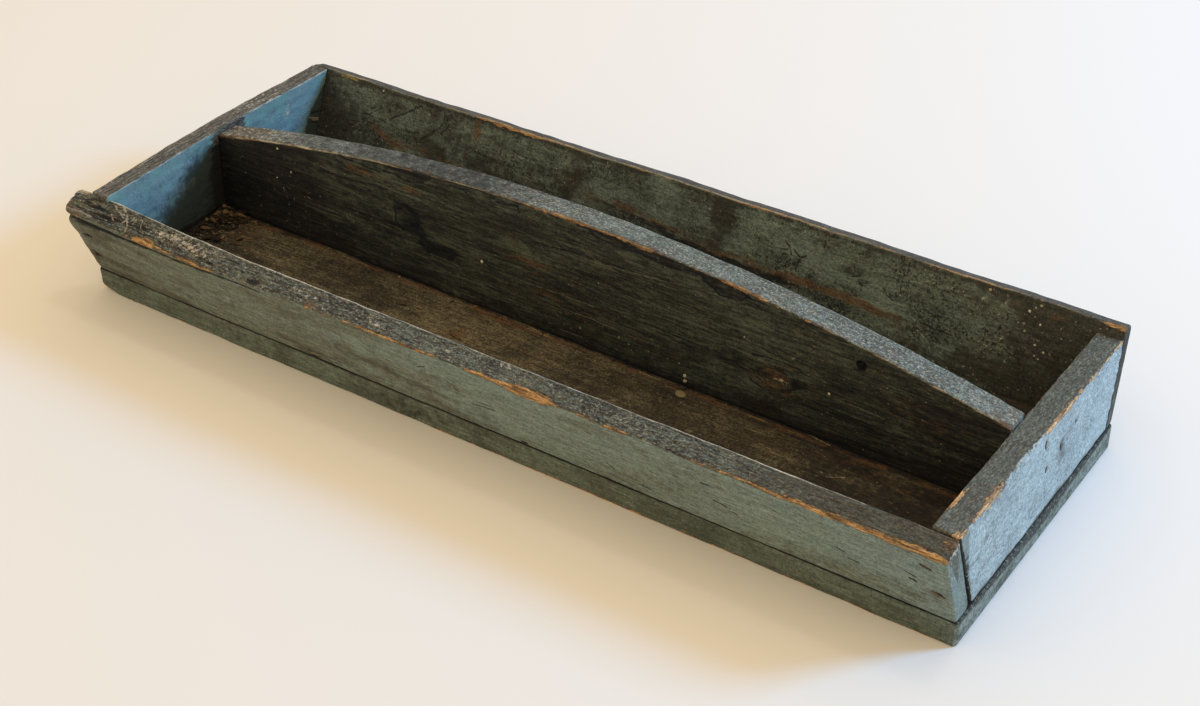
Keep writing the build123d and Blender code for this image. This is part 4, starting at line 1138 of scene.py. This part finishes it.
dividerLook = {
    "leftTop": 72, "rightTop": 70.5, "crest": 32.5, "seat": 0.15, "endPlay": 0.2, **alongX,
    "outer": ((0.05, 0.058, 0.04), (0.024, 0.026, 0.017), (0.006, 0.0055, 0.004)),
    "outerWeather": (0.75, 0.7, 0.3, 0.35, 0.12),
    "inner": ((0.08, 0.09, 0.065), (0.04, 0.042, 0.03), (0.013, 0.012, 0.009)),
    "innerWeather": (0.75, 0.6, 0.4, 0.4, 0.12),
    "tint": (0.072, 0.086, 0.064), "tintAmount": 0.6,
    "top": {"Deep": (0.05, 0.05, 0.04), "Middle": (0.195, 0.21, 0.185), "Paint": (0.17, 0.25, 0.255),
        "Salt": (0.5, 0.53, 0.48), "Stain": (0.16, 0.135, 0.105), "Painted": 0.6, "Salting": 0.55,
        "Fissures": 0.4, "Stained": 0.3, "Pits": 0.8, "Fibre": (0.6, 1, 1)},
    "soil": (0.012, 0.009, 0.006), "soilAndShadeAmount": 0.88, "soilRagged": 1.5,
    "grit": {"outer": (0.85, 0.9), "inner": (0.5, 0.8), "top": (0.6, 0.15)},
    "strokes": [
        ("outer", (0.004, 0.0035, 0.003), 0.92, [
                (0.9, -176, 91, -170.9, 89.1, -160.2, 90, -150.3, 89.2, -142, 89.8, -132.2, 91.7,
                    -128.4, 91.3, -124.2, 89.1, -115.5, 90.2, -108, 92.5, -102.4, 96.5),
                (0.9, -161.7, 93.9, -147.1, 96.5),
                (0.6, -193.5, 75, -173.9, 74.4, -151.5, 77.2, -134.2, 78, -116.3, 77.4),
                (0.7, -85.8, 97.9, -75.6, 97.7, -69, 93.3),
                (1.1, -51.1, 97.6, -42.7, 98.1, -34.3, 99.7, -33.7, 95.7),
                (0.6, -26, 79.7, -11.2, 79.3, 3.5, 81.8, 42.4, 83.1), (0.7, -4.9, 40, 6.9, 39.7),
                (0.9, 18.2, 100.6, 22.9, 97.6, 41.7, 96.2, 51.8, 97.8, 60.9, 96.5, 68.6, 95.5, 76.9,
                    95.4),
                (0.8, 76.9, 95.4, 85.9, 97.5, 94.8, 97.3, 97.2, 93.7, 103.2, 91.3, 107.7, 88.5, 120.9,
                    89.7, 127.2, 94.7), (0.6, 47.9, 69.8, 53.3, 67), (0.7, 129.4, 39, 139.1, 35.9),
                (0.7, 155.8, 53.4, 160.6, 46.1), (0.8, 129.3, 56.8, 141.8, 58.7, 161.3, 58.7),
                (0.6, 108.9, 45.7, 122.3, 48.6, 129.2, 44.3),
                (1.5, -131.6, 70.9, -124.4, 70.4, -117.3, 68.4, -113.8, 62.3, -115.1, 55.2),
                (1.2, -132, 66.4, -132, 57.6, -126.8, 52), (1.6, -122, 60, -118, 57),
                (2.2, -113.4, 47.2, -106.6, 43.5, -92, 48), (0.5, -80, 60, -50, 60.6),
                (0.5, 170, 40, 230, 38), (0.5, 180, 60, 240, 58), (0.5, -60, 34, -20, 34.6),
                (0.5, 60, 50, 110, 49)]),
        ("outer", (0.12, 0.12, 0.085), 0.75, [(0.45, -193.2, 77.6, -173.8, 75.9),
                (0.45, 5.9, 80.6, 22.7, 80.4, 44, 82, 64.1, 84, 84.6, 86.4),
                (0.5, 0, 38.9, 14.8, 38.8, 39.1, 38.6), (0.5, -5.4, 22.4, 11.2, 22.9),
                (0.45, 122.4, 47.1, 134.4, 44.1), (0.4, -40, 66, -10, 66.8),
                (0.4, -150, 50, -140, 50.4), (0.4, 186, 48, 216, 47), (0.4, -30, 48, 20, 48.6)]),
        ("outer", (0.2, 0.17, 0.12), 0.6, [(0.6, -36.6, 76.4, -32.9, 75.7),
                (0.45, 135.3, 56.9, 141.3, 53.2), (0.4, 131.3, 45.2, 138.9, 41.2),
                (0.8, 146, 46.4, 151.2, 44.6), (0.5, 140, 41, 147, 40), (0.5, 130.4, 30.7, 138.6, 30.2)])],
    "darkMark": (0.006, 0.005, 0.004), "rustMark": (0.1, 0.052, 0.024), "paleMark": (0.42, 0.4, 0.33),
    "lineMark": (0.4, 0.37, 0.28), "wood": ((0.36, 0.21, 0.09), (0.16, 0.09, 0.042)),
    "rough": 0.72,
}
hole = {"x": 198.96, "z": 76.5, "radius": 3.25, "cells": 2, "window": 7}


# Round hole: near its middle each grid cell (p, q) moves to middle + radius (p, q) / |(p, q)|,
# blending back to the plain grid at the window's edge. The cells inside are left out, and the two
# rims are joined through the board.
def boreHole(board, points):
    x, z = board["along"], board["section"][..., 1]
    around, n = points.shape[1], hole["cells"]
    leaveOut = np.zeros((points.shape[0] - 1, around), bool)
    window = np.arange(-hole["window"], hole["window"] + 1)
    p, q = np.meshgrid(window, window, indexing="ij")
    square = np.maximum(np.abs(p), np.abs(q)).astype(float)
    reach = np.maximum(np.hypot(p, q), 1e-9)
    blend = rise(square, n, hole["window"])
    side = np.arange(-n, n)
    loop = np.concatenate([np.stack([side, 0 * side - n], axis=1), np.stack([0 * side + n, side], axis=1),
                           np.stack([-side, 0 * side + n], axis=1), np.stack([0 * side - n, -side], axis=1)])
    rims = []
    for face in (board["outer"], board["inner"]):
        columns = np.where(face[0] > 0.999)[0]
        row = np.argmin(np.abs(x[:, columns[len(columns) // 2]] - hole["x"]))
        column = columns[np.argmin(np.abs(z[row, columns] - hole["z"]))]
        upward = int(np.sign(z[row, column + 1] - z[row, column]))
        rows, cols = row + p, column + q
        circleX = hole["x"] + hole["radius"] * p / reach
        circleZ = hole["z"] + hole["radius"] * upward * q / reach
        points[rows, cols, 0] = points[rows, cols, 0] * blend + circleX * (1 - blend)
        points[rows, cols, 2] = points[rows, cols, 2] * blend + circleZ * (1 - blend)
        leaveOut[row - n:row + n, column - n:column + n] = True
        rims.append((row + loop[:, 0]) * around + column + loop[:, 1] * upward)
    a, b = rims
    return leaveOut, np.stack([a, b, np.roll(b, -1), np.roll(a, -1)], axis=1)


# The arch is the circle through both top corners and the crest: radius (c^2/4 + h^2) / 2h for the
# chord c and the crest h above it.
def archTop(x, leftX, rightX):
    crest, low, high = dividerLook["crest"], dividerLook["leftTop"], dividerLook["rightTop"]
    chord = math.hypot(rightX - leftX, high - low)
    radius = (chord ** 2 / 4 + crest ** 2) / (2 * crest)
    share = np.clip((x - leftX) / (rightX - leftX), 0, 1)
    return low + share * (high - low) + np.sqrt(radius ** 2 - (chord * (share - 0.5)) ** 2) - (
        radius - crest)


def makeDivider():
    play, foot = dividerLook["endPlay"], bottomTop + dividerLook["seat"]
    left = leaning(leftInnerFoot + play, slopeOf(leftLean))
    right = leaning(rightInnerFoot - play, -slopeOf(rightLean))
    level, half = dividerLook["leftTop"], dividerHalf
    begin, length = left(level), right(level) - left(level)

    def topAt(x):
        return archTop(x, begin, right(dividerLook["rightTop"]))

    def corners(share):
        x = begin + share * length
        y = course(x, (left(16), dividerStart), (right(16), dividerEnd))
        z = topAt(x) + 0.25 * wander(x, 91, 80)
        return cornersOf((y - half, foot), (y - half, z), (y + half, z), (y + half, foot))

    def wear(share):
        x = begin + share * length
        return np.stack([0.5 + 0 * x, 2 + 0.5 * wander(x, 92, 34) + 1.2 * near(x + 110, 20),
                         1.8 + 0.4 * wander(x, 93, 40), 0.5 + 0 * x], axis=1)

    board = carriedBoard(length, corners, wear, left, right, (60, 20, 60, 8), (0.5, 0.5, 0.5),
        (0.5, 0.5, 0.5), step=1.9, fineReach=12)
    x, z, outer, top, inner = sidesOf(board)
    frontArris, backArris = board["gaps"][..., 1], board["gaps"][..., 2]
    depth = board["across"][..., 1] * 2 * half
    drop, fromFoot = topAt(x) - z, z - bottomTop
    onFront, onTop = outer > 0.5, top > 0.05
    chipDrop = course(x, (-190, 0), (-171, 3.3), (-160, 3.8), (-150, 5.8), (-132, 5.3), (-124, 8.7),
        (-115, 8.4), (-108, 6.8), (-102, 3.2), (-96, 0), (-88, 2.5), (-75, 3.8), (-69, 6), (-64, 1),
        (-54, 5.2), (-42, 5), (-34, 4.5), (-30, 1), (10, 1), (18, 3), (23, 5.9), (42, 6.8), (52, 4.8),
        (61, 5.8), (69, 6.4), (77, 6), (86, 3.3), (95, 2.9), (97, 6.3), (103, 8.2), (108, 10.6),
        (115, 8.8), (121, 8.2), (127, 2.6), (134, 1.5), (150, 0))
    chipDrop = chipDrop * (1 + 0.25 * wander(x, 99, 9))
    chips = onFront * rise(chipDrop - drop, 0, 0.8)
    chipRim = onFront * near(drop - chipDrop - 0.3, 0.7) * rise(chipDrop, 1, 2.4)
    knotRing = near(np.hypot(x + 123, z - 63) - 8, 1.6) * rise(x, -134, -118)
    knotRight = near(np.hypot((x - 146) / 1.9, z - 46) - 6.5, 1.2) + near(
        np.hypot((x - 146) / 1.9, z - 46) - 3.6, 0.7)
    grainRise = 2 * roughness(x, z, 95, 160, 60)
    ridges = np.sin(2 * np.pi * (z + grainRise) / 4.2) * (0.5 + 0.5 * wander(x + 9 * z, 103, 120))
    relief = ((outer + inner) * (0.14 * roughness(x, z, 94, 90, 6) + 0.07 * ridges)
        + top * (0.12 * roughness(x, depth, 96, 24, 6) + 0.06 * roughness(x, depth, 104, 8, 3))
        - 0.5 * chips)
    points = placed(board, relief)
    leaveOut, bridges = boreHole(board, points)
    strength = course(x, (-284, 0.35), (-180, 0.3), (-120, 0.6), (-104, 0.65), (-85, 0.35), (-40, 0.45),
        (-15, 0.8), (20, 0.85), (60, 0.85), (75, 0.5), (104, 0.5), (112, 0.95), (136, 0.95),
        (142, 0.45), (160, 0.5), (170, 0.85), (180, 0.35), (240, 0.3), (288, 0.4))
    width = course(x, (-284, 1), (-110, 1.5), (-30, 1.4), (0, 1.9), (50, 2.1), (75, 1.3), (108, 1.4),
        (120, 2.4), (138, 1.4), (200, 1.2))
    marks = {
        "top": top, "inner": inner,
        "tint": outer * (0.2 + 0.35 * roughness(x, z, 97, 130, 22)
            + 0.35 * near(drop - 3, 12) * rise(x, 100, -250)
            + blots(x, z, [(-150, 64, 26, 12, 0.45), (-204, 46, 20, 10, 0.2), (128, 62, 36, 22, 0.6)])),
        "bare": near(frontArris, width + 0.4 * wander(x, 98, 12)) * strength
            + 0.35 * near(backArris, 1.2) * (0.7 + 0.5 * wander(x, 100, 30)),
        # Soil and dark on the faces: dirt, with painted shade along the foot and towards the left end, where
        # the divider meets the floor and the left end.
        "soil": 0.35 * chips
            + outer * blots(x, z, [(-114, 56, 34, 14, 0.4, -6), (146, 47, 26, 12, 0.3)])
            + onTop * course(x, (-284, 0.42), (-240, 0.48), (-170, 0.54), (-100, 0.7), (-60, 0.66),
                (-36, 0.5), (-12, 0.12), (20, 0.18), (60, 0.36), (100, 0.2), (130, 0), (230, 0),
                (262, 0.2)) + (outer + inner) * (0.15 + 0.6 * near(fromFoot, 10)
                + 0.25 * roughness(x, z, 101, 110, 14) + 0.35 * rise(x, 150, 290) * near(fromFoot, 40)
                + 0.9 * near(x + 290, 40) + 0.8 * rise(x, -150, -230) + 0.45 * rise(x, 200, 280)),
        "dark": outer * (0.14 * roughness(x, z, 102, 60, 5) + 0.8 * knotRing + 0.65 * knotRight
                + 0.7 * near(fromFoot, 3) + 0.7 * near(x + 288, 12) + 0.3 * rise(x, -196, -262)
                + 0.16 * near(x - 56, 50) + blots(x, z, [(-123, 63, 10, 9, 0.62),
                        (-114, 62, 3, 8, 0.5, 10), (-128, 53.7, 20, 2.6, 0.6, 3),
                        (-98, 46.5, 14, 4.2, 0.95, -2), (-90, 48, 7, 4, 0.6),
                        (-112, 54, 9, 5, 0.6, -20), (161, 47, 3, 6, 0.6), (-246, 40, 40, 10, 0.35)]))
            + 0.4 * chipRim + 0.45 * chips + 1.9 * near(np.hypot(x - hole["x"], z - hole["z"]), 4),
        "rust": outer * blots(x, z, [(-119, 84, 9, 2.2, 0.8, 4), (146, 48, 14, 7, 0.62),
                    (-10, 40, 60, 10, 0.3), (232, 58, 40, 12, 0.3), (-153, 85, 16, 3, 0.5, 6),
                    (152, 40, 18, 5, 0.4), (-165, 83, 12, 5, 0.4), (-25, 62, 30, 6, 0.4)])
            + 0.5 * near(frontArris, 2.4) * onTop * strength + onTop * 0.55 * rise(x, -225, -262)
            + onTop * 0.4 * rise(x, 262, 282),
        "pale": top * (0.12 + 0.3 * rise(x, -200, -240) + 0.25 * rise(x, 255, 280))
            + outer * (0.08 + blots(x, z,
                    [(149, 46, 6, 2.4, 0.5, 10), (60, 30, 90, 8, 0.1), (-194, 46, 40, 14, 0.12)])),
        "line": (0.62 * near(backArris, 1.1)
            + near(frontArris, 1.2)
            * course(x, (-284, 0.85), (-130, 0.8), (-60, 0.5), (100, 0.35), (200, 0.5), (288, 0.6)))
            * rise(x, -278, -262),
    }
    piece = closedSkin("divider", points, marks, leaveOut, bridges)
    finishPiece(piece, boardFinish("dividerFinish", dividerLook), "divider")


makeDivider()

nailLook = {"iron": (0.05, 0.04, 0.034), "rust": (0.13, 0.05, 0.02), "crust": (0.25, 0.11, 0.05),
    "rough": 0.75, "relief": 0.6}


def nailFinish():
    material, place = emptyMaterial("rustyIron")
    broad, fine = noiseOf(place, 420, 5, 0.7), noiseOf(place, 1500, 3, 0.6)
    colour = mixColour(smoothRange(broad, 0.42, 0.6), nailLook["iron"], nailLook["rust"])
    colour = mixColour(smoothRange(fine, 0.55, 0.7, 0, 0.6), colour, nailLook["crust"])
    drySurface(colour, fine, place, nailLook["rough"], nailLook["relief"])
    return material


rustyIron = nailFinish()
for nodeName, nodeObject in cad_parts.items():
    if nodeName.endswith("nails"):
        nodeObject.data.materials.clear()
        nodeObject.data.materials.append(rustyIron)
print("nails finished")

crumbLook = {
    "pale": (0.22, 0.145, 0.075), "dark": (0.022, 0.015, 0.009), "rough": 0.9, "relief": 0.5, "seed": 7,
    # noise: scale, detail, roughness; weight of a lump's own tone and of the noise; dark and pale ends
    "grit": (900, 4, 0.7), "shares": (0.8, 0.4), "reach": (0.45, 1.15),
    # heaps: x, y, spread along x, spread along y, count, height of the heap
    "heaps": [(-278, -11, 5, 5, 130, 9), (-272, -19, 8, 9, 90, 5), (-266, -30, 9, 12, 46, 1.5),
        (-277, -50, 4, 16, 40, 1.5), (-244, -6, 14, 2, 16, 0), (-110, -7, 24, 1.6, 9, 0),
        (-20, -7.5, 60, 1.4, 12, 0), (120, -9, 80, 1.4, 12, 0), (-276, 70, 6, 8, 16, 1),
        (270, 60, 9, 14, 14, 0), (0, 60, 160, 14, 16, 0)],
    # splinters: x, y, length, turn
    "splinters": [(-262, 66, 38, 70), (-250, 72, 20, 40), (-246, -34, 9, 16), (40, -50, 9, -30),
        (-226, -7, 12, 4)],
}


# Many small lumps as one mesh: a unit ball's point d goes to centre + turn(d size wave), with the
# wave 1 + 0.25 sin(3 t) cos(2 p) of the ball's own angles t and p. Each lump has one tone.
def lumpsMesh(name, centre, size, turn, draw):
    count, rings, around = len(centre), 6, 9
    t = np.arccos(np.linspace(0.97, -0.97, rings))
    p = np.arange(around) * 2 * np.pi / around
    t, p = np.meshgrid(t, p, indexing="ij")
    ball = np.stack([np.sin(t) * np.cos(p), np.sin(t) * np.sin(p), np.cos(t)], axis=2)
    phase = draw.uniform(0, 6, (2, count, 1, 1))
    wave = 1 + 0.25 * np.sin(3 * t + phase[0]) * np.cos(2 * p + phase[1])
    x, y, z = np.moveaxis(ball * wave[..., None] * size[:, None, None], 3, 0)
    c, s = np.cos(turn)[:, None, None], np.sin(turn)[:, None, None]
    points = np.stack([x * c - y * s, x * s + y * c, z - z.min(axis=(1, 2), keepdims=True)], axis=3)
    points = (points + centre[:, None, None]).reshape(count, -1, 3)
    ends = [points[:, :around].mean(1)[:, None], points[:, -around:].mean(1)[:, None]]
    points = np.concatenate([points, *ends], axis=1)
    each = points.shape[1]
    quads, fans = tubeFaces(rings, around, each - 2, each - 1)
    base = (np.arange(count) * each)[:, None, None]
    tone = np.repeat(draw.uniform(0, 1, count), each)
    return newPiece(name, points.reshape(-1, 3), (quads + base).reshape(-1, 4), (fans + base).reshape(-1, 3),
                    {"tone": tone})


def lumpFinish(name, look, dark, pale):
    material, place = emptyMaterial(name)
    grit = noiseOf(place, *look["grit"])
    share = attributeOf("tone") * look["shares"][0] + grit * look["shares"][1]
    colour = mixColour(smoothRange(share, *look["reach"]), look[dark], look[pale])
    drySurface(colour, grit, place, look["rough"], look["relief"])
    return material


# Crumbs and splinters that lie on the bottom board, most of them in the corner where the divider
# meets the left end. In a heap the crumbs lie as high as height exp(-distance^2) there.
def makeCrumbs():
    draw = np.random.default_rng(crumbLook["seed"])
    spots, lifts = [], []
    for x, y, wide, deep, count, high in crumbLook["heaps"]:
        away = draw.normal(0, 1, (count, 2))
        spots.append(np.stack([x + away[:, 0] * wide, y + away[:, 1] * deep], axis=1))
        lifts.append(high * np.exp(-(away ** 2).sum(1)) * draw.uniform(0, 1, count))
    spots, lifts = np.concatenate(spots), np.concatenate(lifts)
    grown = (0.35 + 1.3 * draw.uniform(0, 1, len(spots)) ** 2.2) * np.where(spots[:, 0] < -255, 1.4, 0.8)
    x = np.clip(spots[:, 0], leftInnerFoot + grown + 0.4, rightInnerFoot - grown - 0.4)
    dividerY = dividerAt(x, leftInnerFoot)
    inFront = spots[:, 1] < dividerY
    y = np.where(inFront, np.clip(spots[:, 1], frontFoot + 17, dividerY - dividerHalf - grown),
                 np.clip(spots[:, 1], dividerY + dividerHalf + grown, backFoot - 11))
    centre = np.stack([x, y, bottomTop - 0.15 + lifts], axis=1)
    size = grown[:, None] * draw.uniform(0.5, 1.4, (len(x), 3)) * np.array([1.7, 0.85, 0.5])
    turn = draw.uniform(0, 2 * np.pi, len(x))
    finish = lumpFinish("crumbDust", crumbLook, "dark", "pale")
    finishPiece(lumpsMesh("crumbs", centre, size, turn, draw), finish)
    x, y, long, turn = np.transpose(crumbLook["splinters"])
    centre = np.stack([x, y, 0 * x + bottomTop - 0.1], axis=1)
    size = np.stack([long / 2, 0 * x + 0.7, 0 * x + 0.45], axis=1)
    finishPiece(lumpsMesh("splinters", centre, size, np.radians(turn), draw), finish)


makeCrumbs()

dropLook = {
    "pale": (0.62, 0.6, 0.5), "dark": (0.3, 0.29, 0.2), "wax": (0.24, 0.21, 0.12), "rough": 0.55,
    "relief": 0.3, "seed": 11, "grit": (700, 3, 0.6), "shares": (0.7, 0.5), "reach": (0.1, 0.9),
    # drops on the back board and on the divider's front: x, z, radius
    "onBack": [(254, 71, 0.9), (248, 65.9, 0.95), (251, 69, 0.6), (256, 60.7, 0.8), (248, 54.7, 0.8),
        (243, 58, 0.55), (256, 49, 0.7), (262, 46.5, 0.85), (260, 42, 0.6), (252, 64, 0.5),
        (222, 70.5, 1), (236, 62, 0.5), (270, 57, 0.5), (-233, 71, 0.7)],
    "onDivider": [(85.1, 23.7, 1.2), (85.5, 20, 1.4), (-229.6, 78.6, 0.8), (-219.7, 64.1, 0.8),
        (124.7, 66.6, 0.7), (180.5, 49.5, 0.9), (-64, 50.3, 1.1), (15.2, 84.2, 0.4), (-233, 56, 0.6),
        (-228, 50, 0.5)],
    # wax on the floor: x, y, radius, thickness
    "onFloor": [(87.2, -14.4, 3.6, 0.4), (92, -22, 0.6, 0.4), (-102.7, -32.2, 0.7, 0.5)],
}


# Dried drops of paint and wax: lumps sunk by their own radius into the face they lie on.
def makeDrops():
    draw = np.random.default_rng(dropLook["seed"])
    drops = []
    for x, z, radius in dropLook["onBack"]:
        y = backInnerFoot + slopeOf(backLean) * (z - bottomTop)
        drops.append((x, y, z - radius, radius, radius * 0.6, radius))
    for x, z, radius in dropLook["onDivider"]:
        y = dividerAt(x, leftInnerFoot) - dividerHalf
        drops.append((x, y, z - radius, radius, radius * 0.6, radius))
    wax = [(x, y, bottomTop - thick / 2, radius, radius * 0.9, thick)
           for x, y, radius, thick in dropLook["onFloor"]]
    for name, lumps, finish, dark, pale in (("drops", drops, "driedDrops", "dark", "pale"),
                                            ("waxSpots", wax, "driedWax", "wax", "wax")):
        lumps = np.array(lumps)
        piece = lumpsMesh(name, lumps[:, :3], lumps[:, 3:], np.zeros(len(lumps)), draw)
        finishPiece(piece, lumpFinish(finish, dropLook, dark, pale))


makeDrops()

studio = {
    "floorColour": (0.825, 0.825, 0.83), "floorSize": 14, "floorRough": 0.9, "floorShine": 0.1,
    "backdrop": (0.9, 0.89, 0.88),
    "fill": (1, 0.775, 0.488), "fillStrength": 0.97, "lampsAt": (0, 0, 0.03),
    # lamps: place in metres, width, watts, colour
    "lamps": {"window": ((2.03, 1.62, 1.5), 0.8, 77.6, (0.134, 0.51, 1)),
        "high": ((0.1, 0.6, 2.3), 0.28, 3, (1, 0.88, 0.75))},
}


def softLamp(name, place, size, power, colour):
    light = bpy.data.lights.new(name, "AREA")
    light.shape, light.size = "DISK", size
    light.energy, light.color = power, colour
    lamp = linkedObject(name, light)
    lamp.location = place
    away = np.array(place) - np.array(studio["lampsAt"])
    lean, heading = math.acos(away[2] / np.linalg.norm(away)), math.atan2(away[1], away[0])
    lamp.rotation_euler = (lean, 0, heading + math.pi / 2)


def makeStudio():
    half = studio["floorSize"] / 2
    mesh = bpy.data.meshes.new("floor")
    mesh.from_pydata([(-half, -half, 0), (half, -half, 0), (half, half, 0), (-half, half, 0)], [],
        [(0, 1, 2, 3)])
    floor = linkedObject("floor", mesh)
    material, _ = emptyMaterial("paleFloor")
    shine = {"Specular IOR Level": studio["floorShine"]}
    shader = feedOf("ShaderNodeBsdfPrincipled", studio["floorColour"], Roughness=studio["floorRough"],
                    **shine)
    addNode("ShaderNodeOutputMaterial", shader)
    mesh.materials.append(material)
    world = bpy.data.worlds.new("studio")
    bpy.context.scene.world = world
    world.use_nodes = True
    work["tree"] = world.node_tree
    work["tree"].nodes.clear()
    fill = feedOf("ShaderNodeBackground", studio["fill"], studio["fillStrength"])
    white = feedOf("ShaderNodeBackground", studio["backdrop"], 1)
    rays = namedFeeds(addNode("ShaderNodeLightPath").outputs)
    seen = maths("MAXIMUM", rays["Is Glossy Ray"], rays["Is Transmission Ray"])
    seen = maths("MAXIMUM", rays["Is Camera Ray"], seen)
    addNode("ShaderNodeOutputWorld", feedOf("ShaderNodeMixShader", seen, fill, white))
    for name, values in studio["lamps"].items():
        softLamp(name, *values)
    print("studio made")


makeStudio()

viewpoint = {"place": (0.58208, -0.81370, 0.70138), "turn": (55.0859, 0.5843, 34.2271), "lens": 59.344,
             "sensor": 36}
camera = linkedObject("camera", bpy.data.cameras.new("camera"))
camera.location = viewpoint["place"]
camera.rotation_euler = [math.radians(angle) for angle in viewpoint["turn"]]
camera.data.lens, camera.data.sensor_width = viewpoint["lens"], viewpoint["sensor"]
bpy.context.scene.camera = camera
bpy.context.scene.view_settings.view_transform = "Standard"
print("camera placed")
